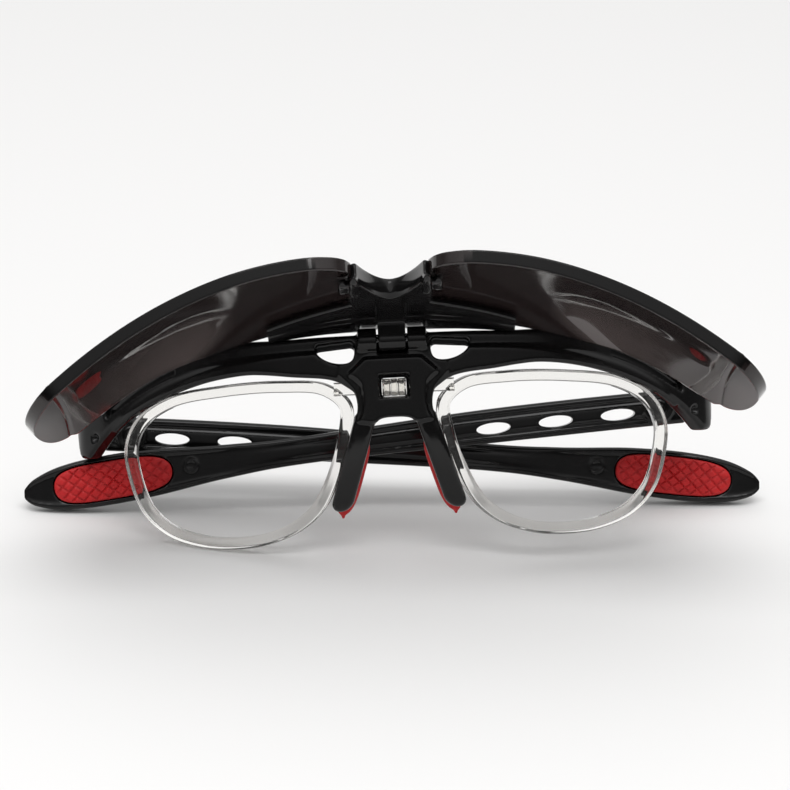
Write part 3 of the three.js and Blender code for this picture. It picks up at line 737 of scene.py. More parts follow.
def closedPath(points, steps):
    knots = np.array(points, float)
    count = len(knots)
    out = []
    for place in np.linspace(0, count, steps, endpoint=False):
        i = int(place)
        w = place - i
        p0, p1, p2, p3 = (knots[(i + k) % count] for k in (-1, 0, 1, 2))
        d0, d1, d2 = (max(np.linalg.norm(b - a), 1e-6) ** 0.5 for a, b in ((p0, p1), (p1, p2), (p2, p3)))
        t1 = ((p1 - p0) / d0 - (p2 - p0) / (d0 + d1) + (p2 - p1) / d1) * d1
        t2 = ((p2 - p1) / d1 - (p3 - p1) / (d1 + d2) + (p3 - p2) / d2) * d1
        out.append(cubic(p1, p2, t1, t2, w))
    return np.array(out)


rimPath = closedPath(rim["outline"], 340)
rimMiddle = (rim["inner"] + rim["outer"]) / 2
rimTurn = math.radians(rim["turn"])


def rimForm(side):
    along = np.roll(rimPath, -1, axis=0) - np.roll(rimPath, 1, axis=0)
    along /= np.linalg.norm(along, axis=1)[:, None]
    profile = []
    for wide, deep in denseRing(roundedBox(rim["width"] / 2, rim["depth"] / 2, 0.5, 8), 0.18):
        inside = smoothStep(0.6, 1.0, -wide / (rim["width"] / 2))
        notch = rim["groove"] * math.exp(-(deep / 0.45) ** 2) * inside
        profile.append((wide + notch, deep))
    rings = []
    for (nasal, up), (alongX, alongZ) in zip(rimPath, along):
        ring = []
        for wide, deep in profile:
            out = wide + rim["width"] / 2
            x, z = -side * (nasal + out * alongZ), up - out * alongX
            turn = side * rimTurn
            ring.append((
                side * rimMiddle + x * math.cos(turn) - deep * math.sin(turn),
                rim["behind"] + x * math.sin(turn) + deep * math.cos(turn),
                rim["height"] + z,
            ))
        rings.append(ring)
    return skin("rim", rings, loop=True)


def insertBar():
    nasal, up = rim["barPoint"]
    endX, endY = rimMiddle - nasal * math.cos(rimTurn), rim["behind"] - nasal * math.sin(rimTurn)
    endZ = rim["height"] + up
    middleY = bridge["depth"] + rim["barGap"] + rim["barDepth"] / 2
    ring = roundedBox(rim["barDepth"] / 2, rim["barHeight"] / 2, 0.6)
    rings = []
    for i in range(41):
        share = i / 20 - 1
        reach = float(smoothStep(0.35, 0.95, abs(share)))
        y, z = mix(middleY, endY, reach), endZ * reach
        rings.append([(share * (endX + 0.4), y - deep, z + high) for deep, high in ring])
    return skin("insertBar", rings)


def makeInsert():
    wide, high = (size / 2 - rim["tabGap"] for size in bridge["window"])
    tab = block("tab", (-wide, 1.0, -high), (wide, bridge["depth"] + 1.5, high))
    parts = [rimForm(1), rimForm(-1), insertBar(), tab]
    body = joined("prescriptionInsert", parts)
    return finished(body, wornPlace, "front", ["prescription_insert"], clearPlastic)


insert = makeInsert()
print("insert:", len(insert.data.polygons), "faces")


# Nose pads: soft red slips clipped behind the arms, with a moulding nib at the foot

pad = {"thickness": 1.9, "half": 2.0, "top": -9.5, "foot": -24.4, "inset": 0.7, "standOff": 0.35}


def makeNosePad(name, side):
    rings = []
    for i in range(61):
        share = i / 60
        z = mix(pad["top"], pad["foot"], share)
        swell = math.sqrt(max(0.05, 1 - abs(2 * share - 1) ** 4))
        crown = 0.25 * math.sin(math.pi * share)
        ring = roundedBox(pad["half"] * swell, pad["thickness"] / 2 * (0.75 + crown), 0.7 * swell)
        rings.append([
            (
                side * (armReach(z) - pad["inset"] + wide),
                bridge["depth"] + armLean(z) + pad["standOff"] + pad["thickness"] / 2 + deep,
                z,
            )
            for wide, deep in ring
        ])
    foot = pad["foot"]
    x, y = side * (armReach(foot) - pad["inset"]), bridge["depth"] + armLean(foot) + pad["standOff"] + 0.9
    nib = turnedForm("nib", [(0, -0.75), (0.22, -0.6), (0.45, 0), (0.6, 0.9), (0, 1.2)], 16)
    nib.data.transform(Matrix.Translation((x, y, foot)))
    body = fused(joined(name + "NosePad", [skin("pad", rings), nib]), 0.16, 4)
    return finished(body, wornPlace, "front", [name + "_nose_pad"], redRubber)


for sideName, sideSign in sides.items():
    makeNosePad(sideName, sideSign)
print("nose pads made")


# What both geometry trees begin and end with

def startTree(name, sizes, shaped):
    tree = bpy.data.node_groups.new(name, "GeometryNodeTree")
    tree.is_modifier = True
    tree.interface.new_socket("Geometry", in_out="OUTPUT", socket_type="NodeSocketGeometry")
    if shaped:
        tree.interface.new_socket("Geometry", in_out="INPUT", socket_type="NodeSocketGeometry")
    for socketName, value in sizes.items():
        kind = "NodeSocketInt" if isinstance(value, int) else "NodeSocketFloat"
        tree.interface.new_socket(socketName, in_out="INPUT", socket_type=kind).default_value = value
    tree.interface.new_socket("Finish", in_out="INPUT", socket_type="NodeSocketMaterial")
    return tree, nodeIn(tree, "NodeGroupInput", (-1400, 0))


def endTree(tree, start, geometry):
    real = nodeIn(tree, "GeometryNodeRealizeInstances", (600, 0))
    paint = nodeIn(tree, "GeometryNodeSetMaterial", (750, 0))
    end = nodeIn(tree, "NodeGroupOutput", (900, 0))
    tree.links.new(geometry, real.inputs["Geometry"])
    tree.links.new(real.outputs["Geometry"], paint.inputs["Geometry"])
    tree.links.new(start.outputs["Finish"], paint.inputs["Material"])
    tree.links.new(paint.outputs["Geometry"], end.inputs["Geometry"])
    return tree


# Ribs in a row, for the grip ends of the knuckle and of the clear tab

def makeRibRow():
    sizes = {"Count": 3, "Pitch": 1.0, "Length": 3.0, "Radius": 0.3}
    tree, start = startTree("ribRow", sizes, False)
    row = nodeIn(tree, "GeometryNodeMeshLine", (-500, 150))
    step = nodeIn(tree, "ShaderNodeCombineXYZ", (-700, 50))
    path = nodeIn(tree, "GeometryNodeCurvePrimitiveLine", (-700, -150))
    tip = nodeIn(tree, "ShaderNodeCombineXYZ", (-900, -200))
    section = nodeIn(tree, "GeometryNodeCurvePrimitiveCircle", (-700, -400))
    section.inputs["Resolution"].default_value = 14
    rib = nodeIn(tree, "GeometryNodeCurveToMesh", (-400, -200))
    rib.inputs["Fill Caps"].default_value = True
    spread = nodeIn(tree, "GeometryNodeInstanceOnPoints", (-150, 0))
    links = tree.links
    links.new(start.outputs["Pitch"], step.inputs["X"])
    links.new(start.outputs["Count"], row.inputs["Count"])
    links.new(step.outputs["Vector"], row.inputs["Offset"])
    links.new(start.outputs["Length"], tip.inputs["Z"])
    links.new(tip.outputs["Vector"], path.inputs["End"])
    links.new(start.outputs["Radius"], section.inputs["Radius"])
    links.new(path.outputs["Curve"], rib.inputs["Curve"])
    links.new(section.outputs["Curve"], rib.inputs["Profile Curve"])
    links.new(row.outputs["Mesh"], spread.inputs["Points"])
    links.new(rib.outputs["Mesh"], spread.inputs["Instance"])
    return endTree(tree, start, spread.outputs["Instances"])


ribRow = makeRibRow()


def setInputs(piece, tree, values):
    modifier = piece.modifiers.new(tree.name, "NODES")
    modifier.node_group = tree
    for item in tree.interface.items_tree:
        if item.item_type == "SOCKET" and item.in_out == "INPUT" and item.name in values:
            modifier[item.identifier] = values[item.name]
    return settled(piece)


tabRibs = {"count": 3, "pitch": 1.35, "radius": 0.62, "inset": 0.5, "behind": 0.95}
knuckleRibs = {"count": 5, "pitch": 0.95, "radius": 0.3, "length": 2.2}


# A row of upright ribs, centred across
def ribs(name, row, length, material):
    piece = linked(name, bpy.data.meshes.new(name))
    values = {"Count": row["count"], "Pitch": row["pitch"], "Radius": row["radius"]}
    setInputs(piece, ribRow, {**values, "Length": length, "Finish": material})
    piece.data.transform(Matrix.Translation((-row["pitch"] * (row["count"] - 1) / 2, 0, 0)))
    return piece


def makeTabRibs():
    length = bridge["window"][1] - tabRibs["inset"]
    piece = ribs("insertTabRibs", tabRibs, length, clearPlastic)
    piece.data.transform(Matrix.Translation((0, tabRibs["behind"], -length / 2)))
    return finished(piece, wornPlace, "front", None, clearPlastic)


makeTabRibs()
print("tab ribs made")


# Flip carrier: knuckle on the pin, nose notch, clip ears and two stepped wings

carrier = {
    "ahead": 1.7, "thickness": 3.4, "top": 11.9, "half": 7.4, "notch": -11.0, "notchHalf": 6.1,
    "foot": -22.6, "lipRadius": 0.42, "bore": 0.95, "shieldFoot": 3.5, "shieldBack": -1.42,
    "wingReach": 23.0, "wingTop": (11.6, 10.2), "wingRoot": 18.0, "wingTip": 7.4, "wingThickness": 1.0,
    "ridge": 0.45, "voxels": (0.2, 0.18), "smoothing": 4,
    "ears": [(6.6, -23.6, -12.5, 0.55), (8.6, -21.0, -14.5, 0.3)],  # reach, foot, top, how proud
}


def carrierFoot(x):
    beyond = max(0, abs(x) - carrier["notchHalf"])
    return mix(carrier["notch"], carrier["foot"], min(1, abs(x) / carrier["notchHalf"]) ** 1.8) + beyond


def carrierBody():
    half = carrier["thickness"] / 2
    rings = []
    for i in range(61):
        x = carrier["half"] * (i / 30 - 1)
        high = (carrier["top"] - carrierFoot(x)) / 2
        ring = []
        for deep, up in roundedBox(half, high, 0.9, 8):
            ring.append(onFront(x, carrier["ahead"] + half + deep, carrierFoot(x) + high + up))
        rings.append(ring)
    return skin("carrierBody", rings)


def carrierWing(side):
    thick = carrier["wingThickness"]
    rings = []
    for i in range(41):
        share = i / 40
        x = mix(carrier["half"] - 1.5, carrier["wingReach"], share)
        high = mix(carrier["wingRoot"], carrier["wingTip"], share) / 2
        middle = mix(*carrier["wingTop"], share) - high
        ring = []
        for deep, up in denseRing(roundedBox(thick / 2, high, 0.3, 3), 0.3):
            step = carrier["ridge"] * float(smoothStep(-0.1, 0.25, up / high)) if deep < 0 else 0
            ring.append(onFront(side * x, carrier["ahead"] - 0.1 + thick / 2 + deep - step, middle + up))
        rings.append(ring)
    size = min(len(ring) for ring in rings)
    return skin("carrierWing", [evened(ring, size) for ring in rings])


def clipEar(side):
    parts = []
    for x, low, high, proud in carrier["ears"]:
        ahead = carrier["ahead"] - proud + 0.5
        rings = []
        for i in range(9):
            z = mix(low, high, i / 8)
            end = math.sqrt(max(0.1, 1 - abs(i / 4 - 1) ** 4))
            ring = roundedBox(0.85 * end, 0.9 * end, 0.35 * end, 4)
            rings.append([onFront(side * (x + wide), ahead + deep, z) for wide, deep in ring])
        parts.append(skin("clipEar", rings))
    return parts


def notchLip():
    radius = carrier["lipRadius"]
    ring = [(radius * math.cos(a), radius * math.sin(a)) for a in np.linspace(0, 2 * math.pi, 13)[:-1]]
    rings = []
    for i in range(41):
        x = 0.97 * carrier["half"] * (i / 20 - 1)
        z = carrierFoot(x) + 1.15
        rings.append([onFront(x, carrier["ahead"] + deep, z + up) for deep, up in ring])
    return skin("notchLip", rings)


def makeCarrier():
    half, reach, ahead = carrier["thickness"] / 2, knuckle["half"], carrier["ahead"]
    parts = [carrierBody(), notchLip(), carrierWing(1), carrierWing(-1), *clipEar(1), *clipEar(-1)]
    parts.append(barrel("knuckle", knuckle["radius"], -reach, reach, "x", axisSpot))
    low = (-reach, -ahead - half, flip["axisZ"] - knuckle["radius"])
    parts.append(block("neck", low, (reach, flip["axisY"], flip["axisZ"])))
    for side in sides.values():
        begin, end = sorted((side * (reach + 0.1), side * (carrier["half"] - 0.2)))
        high = (end, carrier["shieldBack"], carrier["top"] - 0.4)
        parts.append(block("shield", (begin, -ahead - 1, carrier["shieldFoot"]), high))
    cuts = [barrel("bore", carrier["bore"], -reach - 1, reach + 1, "x", axisSpot)]
    body = moulded("flipCarrier", parts, cuts, carrier["voxels"], carrier["smoothing"])
    return finished(body, raisedPlace, "flip", ["flip_carrier"], blackGloss)


flipCarrier = makeCarrier()
print("carrier:", len(flipCarrier.data.polygons), "faces")


def makeKnuckleRibs():
    piece = ribs("knuckleRibs", knuckleRibs, knuckleRibs["length"], blackGloss)
    lie = Matrix.Rotation(math.radians(-90), 4, "X")
    spot = Matrix.Translation((0, flip["axisY"] - 0.4, flip["axisZ"] + knuckle["radius"] - 0.1))
    piece.data.transform(spot @ lie)
    return finished(piece, raisedPlace, "flip", None, blackGloss)


makeKnuckleRibs()


# Tinted lenses, with the sculpted flute that runs out to the tip

lens = {
    "gap": 3.5, "thickness": 1.8, "verticalRadius": 300.0, "middle": -10.0, "inner": 6.9, "outer": 63.8,
    "tip": -11.0, "tipLength": 6.0, "tipPower": 2.6, "seamAt": 58.5, "seamDepth": 0.08, "stepDrop": 1.5,
    "fluteStart": 27.5, "fluteLean": 6.0, "fluteTop": 0.74, "fluteRound": 11.0, "fluteWall": 9.5,
    "fluteDepth": 0.5, "fluteFade": (45.0, 59.0), "edgeLip": 0.6, "lipWidth": (2.4, 0.7),
    "bevel": 0.18, "bevelRun": 0.12, "tintAndReflectionOutward": (38, 58), "paintedReflectionUpward": (0.4, 0.95),
    "columns": 240, "rows": 90,
    "topEdge": [
        (6.9, 8.3), (14, 9.6), (24, 11.2), (32, 11.4), (40, 11.2), (48, 11.2), (56, 10.8), (64.4, 9.4),
    ],
    "bottomEdge": [
        (6.9, -22.0), (8.1, -25.2), (10.6, -27.9), (15.6, -29.8), (26, -29.6), (38, -27.2), (50, -24.4),
        (64.4, -21),
    ],
}
lensTop = heightOver(lens["topEdge"])
lensBottom = heightOver(lens["bottomEdge"])


def lensEdge(x, edge):
    share = max(0, (x - lens["outer"] + lens["tipLength"]) / lens["tipLength"])
    step = lens["stepDrop"] * float(smoothStep(-0.6, 0.6, x - lens["seamAt"])) if edge is lensTop else 0
    return mix(lens["tip"], edge(x) - step, max(0.004, 1 - share ** lens["tipPower"]) ** 0.5)


def insideFlute(x, share, tall):
    down = 1 - share
    along = x - lens["fluteStart"] - lens["fluteLean"] * max(0, 1 - down / 0.4) ** 2
    above = (lens["fluteTop"] - down) * tall
    turn = lens["fluteRound"]
    inside = min(along, above)
    if along < turn and above < turn:
        inside = turn - math.hypot(turn - along, turn - above)
    return inside


def lensRelief(x, share, tall):
    inside = insideFlute(x, share, tall)
    flute = lens["fluteDepth"] * float(smoothStep(0, lens["fluteWall"], inside))
    flute *= float(1 - smoothStep(*lens["fluteFade"], x))
    seam = lens["seamDepth"] * math.exp(-((x - lens["seamAt"] - 3 * (share - 0.5) ** 2) / 0.3) ** 2)
    return flute + seam


# Lens colour marks: nought on the cut edge as painted shade; in the flute a lighter colour, partly a
# thinner tinted layer and mostly painted reflection, lighter towards the top edge and fading towards the
# tip
def markTintAndPaintedLight(body):
    tintAndPaintedLightValues = []
    for point in body.data.vertices:
        x, z = abs(point.co.x), point.co.z
        low, high = lensBottom(x), lensTop(x)
        share = min(1, max(0, (z - low) / (high - low)))
        # Flute mark: partly a thinner tinted layer, mostly painted reflection; the outward and upward
        # factors below shape that painted reflection
        fluteTintAndReflection = float(smoothStep(0.5, lens["fluteWall"] * 0.8, insideFlute(x, share, high - low)))
        outward = float(1 - 0.55 * smoothStep(*lens["tintAndReflectionOutward"], x))
        upward = float(0.55 + 0.45 * smoothStep(*lens["paintedReflectionUpward"], share))
        # The cut edge gets nought: painted shade
        tintAndPaintedLightValues.append(0 if share < 0.002 else mix(plainTint, 1, fluteTintAndReflection * outward * upward))
    body.data.attributes.new("tintAndPaintedLight", "FLOAT", "POINT").data.foreach_set("value", tintAndPaintedLightValues)


def lensRing(side, x):
    low, high = lensEdge(x, lensBottom), lensEdge(x, lensTop)
    full = lensTop(x) - lensBottom(x)
    tall = high - low
    gap, bevel, thick = lens["gap"], lens["bevel"], lens["thickness"]

    def spot(share, ahead):
        z = mix(low, high, share)
        bow = (z - lens["middle"]) ** 2 / (2 * lens["verticalRadius"])
        return onFront(side * x, ahead - bow + lensRelief(x, (z - lensBottom(x)) / full, full), z)

    inset = min(0.3, bevel / tall)
    shares = np.linspace(inset, 1 - inset, lens["rows"])
    lips = [lens["edgeLip"] * float(smoothStep(*lens["lipWidth"], share * tall)) for share in shares]
    inner = [spot(share, gap - lip) for share, lip in zip(shares, lips)]
    near, far = (bevel, bevel + lens["bevelRun"]), (thick - bevel - lens["bevelRun"], thick - bevel)
    topEdge = [spot(1, gap + depth) for depth in near + far]
    outer = [spot(share, gap + thick) for share in reversed(shares)]
    foot = [spot(0, gap + depth) for depth in (far[1], far[0], near[1] - lips[0], near[0] - lips[0])]
    return inner + topEdge + outer + foot


def makeLens(name, side):
    rings = []
    for i in range(lens["columns"] + 1):
        x = mix(lens["inner"], lens["outer"], 1 - (1 - i / lens["columns"]) ** 1.5)
        rings.append(lensRing(side, x))
    body = skin(name + "TintedLens", rings)
    markTintAndPaintedLight(body)
    return finished(body, raisedPlace, "flip", [name + "_tinted_lens"], smokeLens)


for sideName, sideSign in sides.items():
    makeLens(sideName, sideSign)
print("lenses made")


# Temples, drawn from the hinge outwards: along, towards the head, and up

temple = {
    "length": 133.0, "start": 2.8, "baseDrop": 1.6, "sag": 0.052, "curl": 0.00031, "baseHalf": 3.4,
    "waistHalf": 2.7, "tipHalf": 4.9, "baseThick": 3.4, "midThick": 2.8, "tipThick": 3.4,
    "slots": 3, "slotFirst": 16.0, "slotPitch": 12.3, "slotLength": 6.8, "slotHeight": 2.2, "slotDrop": 0.5,
    "bossAt": 8.0, "bossRadius": 3.0, "grooves": (0.5, -0.52), "grooveDepth": 0.4, "ringAt": 100.2,
    "fold": {"left": 2.0, "right": 3.7}, "play": {"left": 0.5, "right": 2.0},
    "grooveStart": (3, 7), "grooveEnd": (62, 92), "dishStart": (84, 100), "dishDepth": 0.28,
    "dishRim": (0.66, 0.8), "ringPoints": 110, "voxels": (0.2, 0.19), "smoothing": 4,
}
grip = {
    "inset": 17.5, "length": 23.2, "height": 7.4, "depth": 1.2, "proud": 0.5, "gap": 0.2,
    "cellLength": 2.5, "cellHeight": 2.2, "grooveShare": 0.17, "grooveDepth": 0.4, "crown": 0.22,
    "rounds": 46,
}
templeEnd = temple["length"]
templeHalf = heightOver([
    (0, temple["baseHalf"]), (40, temple["baseHalf"]), (templeEnd - 56, temple["waistHalf"]),
    (templeEnd - 40, temple["waistHalf"] + 0.6), (templeEnd - 26, temple["tipHalf"] - 0.3),
    (templeEnd - 15, temple["tipHalf"]), (templeEnd - 7, temple["tipHalf"] * 0.86),
    (templeEnd - 2, temple["tipHalf"] * 0.53), (templeEnd, temple["tipHalf"] * 0.18),
])
templeThick = heightOver([
    (0, temple["baseThick"]), (20, temple["baseThick"]), (templeEnd - 62, temple["midThick"]),
    (templeEnd - 32, temple["tipThick"]), (templeEnd - 10, temple["tipThick"]),
    (templeEnd, temple["tipThick"] * 0.55),
])


def templeDrop(along):
    return temple["baseDrop"] + temple["sag"] * along + temple["curl"] * along ** 2


def templeSlope(along):
    return temple["sag"] + 2 * temple["curl"] * along


def templeRelief(along, level):
    near = float(smoothStep(*temple["grooveStart"], along) * (1 - smoothStep(*temple["grooveEnd"], along)))
    depth = 0
    for groove in temple["grooves"]:
        depth = max(depth, math.exp(-((level - groove) / 0.12) ** 2))
    far = float(smoothStep(*temple["dishStart"], along))
    dished = temple["dishDepth"] * far * float(1 - smoothStep(*temple["dishRim"], abs(level)))
    return temple["grooveDepth"] * depth * near + dished


def templeBody(side):
    rings = []
    for i in range(221):
        along = mix(temple["start"], templeEnd, 1 - (1 - i / 220) ** 1.25)
        half, thick = templeHalf(along), templeThick(along) / 2
        ring = []
        for deep, up in denseRing(roundedBox(thick, half, min(thick, half) * 0.55), 0.22):
            inset = templeRelief(along, up / half) * float(smoothStep(0, thick * 0.8, deep))
            ring.append((-side * along, -(deep - inset), up - templeDrop(along)))
        rings.append(evened(ring, temple["ringPoints"]))
    return skin("templeBody", rings)


def bossRings(side):
    thick = temple["baseThick"] / 2
    profile = [
        (0, -1), (0, 0.1), (0.9, 0.1), (1.0, 0.38), (1.5, 0.38), (1.65, 0.08), (2.2, 0.08), (2.35, 0.42),
        (2.85, 0.42), (temple["bossRadius"] + 0.05, 0.1), (temple["bossRadius"] + 0.05, -1), (0, -1),
    ]
    boss = turnedForm("boss", profile)
    spot = Matrix.Translation((-side * temple["bossAt"], -thick, -templeDrop(temple["bossAt"])))
    boss.data.transform(spot @ Matrix.Rotation(math.radians(90), 4, "X"))
    return boss


def ringMark(side):
    along = temple["ringAt"]
    profile = [(0.95, -0.6), (0.95, 0.1), (1.05, 0.2), (1.2, 0.2), (1.3, 0.1), (1.3, -0.6), (0.95, -0.6)]
    mark = turnedForm("ringMark", profile, 40)
    spot = Matrix.Translation((-side * along, -templeThick(along) / 2 + 0.2, -templeDrop(along) + 0.4))
    mark.data.transform(spot @ Matrix.Rotation(math.radians(90), 4, "X"))
    return mark


def gripOutline(grow, steps=40):
    a, b = grip["length"] / 2 + grow, grip["height"] / 2 + grow
    outline = bezier((-a, 0), (-a, b), (-a * 0.6, b), (0, b), steps)
    outline += bezier((0, b), (a * 0.6, b), (a, b * 0.9), (a, 0), steps)
    outline += bezier((a, 0), (a, -b * 0.9), (a * 0.6, -b), (0, -b), steps)
    outline += bezier((0, -b), (-a * 0.6, -b), (-a, -b), (-a, 0), steps)
    return outline


def onGrip(side):
    along = templeEnd - grip["inset"]
    tilt = Matrix.Rotation(-side * templeSlope(along), 4, "Y")
    return Matrix.Translation((-side * along, 0, -templeDrop(along))) @ tilt


def templeSlots(side):
    cuts = []
    for i in range(temple["slots"]):
        along = temple["slotFirst"] + i * temple["slotPitch"]
        a, b = temple["slotLength"] / 2, temple["slotHeight"] / 2
        angles = np.linspace(0, 2 * math.pi, 49)[:-1]
        cut = slab("slot", [(a * math.cos(t), b * math.sin(t)) for t in angles], -6, 6)
        tilt = Matrix.Rotation(-side * templeSlope(along), 4, "Y")
        spot = (-side * along, 0, -templeDrop(along) - temple["slotDrop"])
        cut.data.transform(Matrix.Translation(spot) @ tilt)
        cuts.append(cut)
    return cuts


def armPlace(name):
    fold = Matrix.Rotation(math.radians(temple["fold"][name]), 4, "Z")
    play = Matrix.Rotation(math.radians(temple["play"][name]), 4, "Y")
    return wornPlace @ Matrix.Translation(hingeAt[name]) @ play @ fold


def makeTemple(name, side):
    tongueHalf = hingeScrew["tongueHeight"] / 2
    reach = lugShape["thickness"] / 2
    parts = [templeBody(side), bossRings(side), ringMark(side)]
    parts.append(barrel("tongue", reach, -tongueHalf, tongueHalf, "z", (0, 0, 0)))
    ends = sorted((0, -side * (temple["start"] + 2)))
    parts.append(block("neck", (ends[0], -0.6, -tongueHalf), (ends[1], reach, tongueHalf)))
    floor = -temple["tipThick"] / 2 + grip["depth"]
    pocket = slab("pocket", gripOutline(grip["gap"]), -6, floor)
    pocket.data.transform(onGrip(side))
    bore = barrel("bore", hingeScrew["radius"] + hingeScrew["clearance"], -4, 4, "z", (0, 0, 0))
    cuts = [pocket, bore, *templeSlots(side)]
    body = moulded(name + "Temple", parts, cuts, temple["voxels"], temple["smoothing"])
    return finished(body, armPlace(name), name + "_arm", [name + "_temple"], blackGloss)


# Quilting: crossed grooves pressed into the face of the grip

def makeQuilting():
    sizes = {"Cell Length": 3.3, "Cell Height": 2.9, "Groove Share": 0.16, "Groove Depth": 0.3}
    tree, start = startTree("quilting", sizes, True)
    links = tree.links
    where = nodeIn(tree, "GeometryNodeInputPosition", (-1400, 300))
    parts = nodeIn(tree, "ShaderNodeSeparateXYZ", (-1200, 300))
    links.new(where.outputs["Position"], parts.inputs["Vector"])

    def sums(operation, a, b, at):
        node = nodeIn(tree, "ShaderNodeMath", at, operation=operation)
        for slotNumber, value in enumerate((a, b)):
            if isinstance(value, (int, float)):
                node.inputs[slotNumber].default_value = value
            elif value is not None:
                links.new(value, node.inputs[slotNumber])
        return node.outputs["Value"]

    u = sums("DIVIDE", parts.outputs["X"], start.outputs["Cell Length"], (-1000, 400))
    v = sums("DIVIDE", parts.outputs["Y"], start.outputs["Cell Height"], (-1000, 200))

    def fromGroove(value, at):
        part = sums("FRACT", value, None, at)
        centred = sums("ABSOLUTE", sums("SUBTRACT", part, 0.5, at), None, at)
        return sums("SUBTRACT", 0.5, centred, at)

    one = fromGroove(sums("ADD", u, v, (-800, 400)), (-600, 400))
    two = fromGroove(sums("SUBTRACT", u, v, (-800, 200)), (-600, 200))
    nearest = sums("MINIMUM", one, two, (-400, 300))
    rise = nodeIn(tree, "ShaderNodeMapRange", (-200, 300), interpolation_type="SMOOTHSTEP")
    links.new(nearest, rise.inputs["Value"])
    links.new(start.outputs["Groove Share"], rise.inputs["From Max"])
    rise.inputs["To Min"].default_value = -1
    rise.inputs["To Max"].default_value = 0
    face = nodeIn(tree, "GeometryNodeInputNamedAttribute", (-200, 0), data_type="FLOAT")
    face.inputs["Name"].default_value = "face"
    press = sums("MULTIPLY", rise.outputs["Result"], start.outputs["Groove Depth"], (0, 250))
    pressed = sums("MULTIPLY", press, face.outputs["Attribute"], (150, 150))
    shift = nodeIn(tree, "ShaderNodeCombineXYZ", (300, 150))
    links.new(pressed, shift.inputs["Z"])
    move = nodeIn(tree, "GeometryNodeSetPosition", (450, 0))
    links.new(start.outputs["Geometry"], move.inputs["Geometry"])
    links.new(shift.outputs["Vector"], move.inputs["Offset"])
    return endTree(tree, start, move.outputs["Geometry"])


quilting = makeQuilting()


def makeGrip(name, side):
    outline = np.array(gripOutline(0, 60))
    count = len(outline)
    rows, weights = [], []
    thick = grip["depth"] + grip["proud"] - 0.3
    for share in np.linspace(0, 1, grip["rounds"]):
        edge = math.sqrt(max(0, 1 - float(smoothStep(0.86, 1.0, share)) ** 2))
        height = grip["crown"] * (1 - share ** 2) + 0.45 * (edge - 1)
        rows.append([(x, y, height) for x, y in outline * max(share, 1e-4)])
        weights += [float(1 - smoothStep(0.9, 1.0, share))] * count
    for depth in (0.6, thick):
        rows.append([(x, y, -depth) for x, y in outline])
    rows.append([(0, 0, -thick)] * count)
    weights += [0.0] * (3 * count)
    mesh = bpy.data.meshes.new(name + "Grip")
    mesh.from_pydata([point for row in rows for point in row], [], gridFaces(len(rows), count))
    mesh.attributes.new("face", "FLOAT", "POINT").data.foreach_set("value", weights)
    piece = linked(name + "Grip", cleaned(mesh, 1e-3))
    values = {
        "Cell Length": grip["cellLength"], "Cell Height": grip["cellHeight"],
        "Groove Share": grip["grooveShare"], "Groove Depth": grip["grooveDepth"], "Finish": redRubber,
    }
    setInputs(piece, quilting, values)
    stand = Matrix.Rotation(math.radians(90), 4, "X")
    face = Matrix.Translation((0, -temple["tipThick"] / 2 - grip["proud"] + 0.2, 0))
    piece.data.transform(onGrip(side) @ face @ stand)
    return finished(piece, armPlace(name), name + "_arm", [name + "_grip"], redRubber)


for sideName, sideSign in sides.items():
    arm = makeTemple(sideName, sideSign)
    makeGrip(sideName, sideSign)
    print(sideName, "temple:", len(arm.data.polygons), "faces")


# Hinge hardware

flipPin = {"half": 6.0, "radius": 0.7}


def makeScrew(name):
    half = lugShape["hingeHalf"]
    head, neck = hingeScrew["headRadius"], hingeScrew["radius"]
    profile = [
        (0, -half + 0.02), (head * 0.55, -half), (head * 0.9, -half + 0.06), (head, -half + 0.18),
        (head, -half + hingeScrew["headHeight"]), (neck, -half + hingeScrew["headHeight"]),
    ]
    turns = 7
    for i in range(turns):
        base = mix(-half + 0.7, half - 0.9, i / turns)
        profile += [(neck, base), (neck * 0.88, base + 0.16), (neck, base + 0.32)]
    profile += [(neck, half - 0.7), (neck * 0.8, half - 0.55), (0, half - 0.55)]
    body = turnedForm(name + "HingeScrew", profile)
    slot = block("driverSlot", (-2, -0.2, -half - 1), (2, 0.2, -half + 0.26))
    carved(body, [slot])
    body.data.transform(Matrix.Translation(hingeAt[name]))
    return finished(body, wornPlace, "front", [name + "_hinge_screw"], hingeSteel)


def makeFlipPin():
    half, radius = flipPin["half"], flipPin["radius"]
    profile = [(0, -half), (radius * 0.6, -half), (radius, -half + 0.25), (radius, half - 0.25)]
    profile += [(radius * 0.6, half), (0, half)]
    body = turnedForm("flipPin", profile, 32)
    body.data.transform(Matrix.Translation(pivot) @ Matrix.Rotation(math.radians(90), 4, "Y"))
    return finished(body, wornPlace, "front", ["flip_pin"], hingeSteel)


for sideName in sides:
    makeScrew(sideName)
makeFlipPin()
print("hardware made")


# Floor, light and camera

stage = {"floorSize": 3.0, "floorColour": (0.86, 0.855, 0.85)}
sky = {"dim": 0.1, "overhead": (0.12, 0.8, 1.05), "rear": (-0.2, 0.6, 0.2)}
softLight = {"spot": (0, -0.3, 0.95), "target": (0, 0.05, 0), "size": (0.9, 0.45), "power": 4.2}
view = {  # angles in degrees, distance in metres, pixels per millimetre, and where the bridge falls
    "azimuth": 1.38, "elevation": 22.07, "roll": 2.0, "distance": 0.65, "pixels": 5.305,
    "middle": (394.2, 387.3), "picture": 790,
}


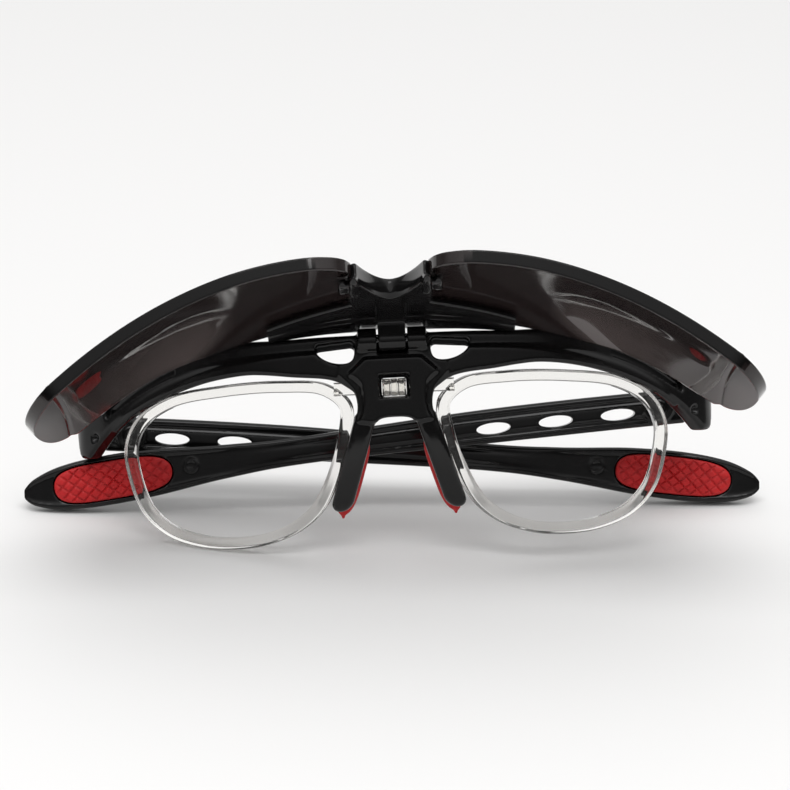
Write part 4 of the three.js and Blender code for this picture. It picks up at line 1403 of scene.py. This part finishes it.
def makeFloor():
    half = stage["floorSize"] / 2
    corners = [(-half, -half, 0), (half, -half, 0), (half, half, 0), (-half, half, 0)]
    floor = addMesh("floor", corners, [(0, 1, 2, 3)])
    floor.data.transform(Matrix.Translation((0, 0, -0.0002)))
    material, tree, shader = startMaterial("paleFloor")
    shader.inputs["Base Color"].default_value = (*stage["floorColour"], 1)
    shader.inputs["Roughness"].default_value = 0.7
    shader.inputs["Specular IOR Level"].default_value = 0.1
    floor.data.materials.append(material)


def makeSoftLight():
    lamp = bpy.data.lights.new("overhead", "AREA")
    lamp.shape = "RECTANGLE"
    lamp.size, lamp.size_y = softLight["size"]
    lamp.energy = softLight["power"]
    light = linked("overhead", lamp)
    spot, target = Vector(softLight["spot"]), Vector(softLight["target"])
    light.location = spot
    light.rotation_euler = (target - spot).to_track_quat("-Z", "Y").to_euler()


def makeSky():
    world = bpy.data.worlds.new("paleStudio")
    scene.world = world
    world.use_nodes = True
    tree = world.node_tree
    back = tree.nodes["Background"]
    where = nodeIn(tree, "ShaderNodeTexCoord", (-1000, 0))
    split = nodeIn(tree, "ShaderNodeSeparateXYZ", (-800, 0))
    tree.links.new(where.outputs["Generated"], split.inputs["Vector"])
    levels = []
    for axis, begin, end, level in (("Z", *sky["overhead"]), ("Y", *sky["rear"])):
        fade = nodeIn(tree, "ShaderNodeMapRange", (-600, 0), interpolation_type="SMOOTHSTEP")
        fade.inputs["From Min"].default_value = begin
        fade.inputs["From Max"].default_value = end
        fade.inputs["To Min"].default_value = sky["dim"]
        fade.inputs["To Max"].default_value = level
        tree.links.new(split.outputs[axis], fade.inputs["Value"])
        levels.append(fade.outputs["Result"])
    brighter = nodeIn(tree, "ShaderNodeMath", (-400, 0), operation="MAXIMUM")
    for slotNumber, level in enumerate(levels):
        tree.links.new(level, brighter.inputs[slotNumber])
    tree.links.new(brighter.outputs["Value"], back.inputs["Color"])
    back.inputs["Strength"].default_value = 1.0


def makeCamera():
    az, el, roll = (math.radians(view[key]) for key in ("azimuth", "elevation", "roll"))
    look = Vector((math.sin(az) * math.cos(el), math.cos(az) * math.cos(el), -math.sin(el)))
    right = Vector((math.cos(az), -math.sin(az), 0))
    up = right.cross(look)
    right, up = right * math.cos(roll) + up * math.sin(roll), up * math.cos(roll) - right * math.sin(roll)
    data = bpy.data.cameras.new("photoView")
    data.sensor_width = 36
    data.sensor_fit = "HORIZONTAL"
    picture, middle = view["picture"], view["middle"]
    data.lens = view["pixels"] * view["distance"] * 1000 / picture * data.sensor_width
    data.shift_x = (picture / 2 - middle[0]) / picture
    data.shift_y = (middle[1] - picture / 2) / picture
    data.clip_start = 0.01
    camera = linked("photoView", data)
    turn = Matrix((right, up, -look)).transposed().to_4x4()
    camera.matrix_world = Matrix.Translation(bridgeMiddle - look * view["distance"]) @ turn
    scene.camera = camera


makeFloor()
makeSky()
makeSoftLight()
makeCamera()
print("stage set")
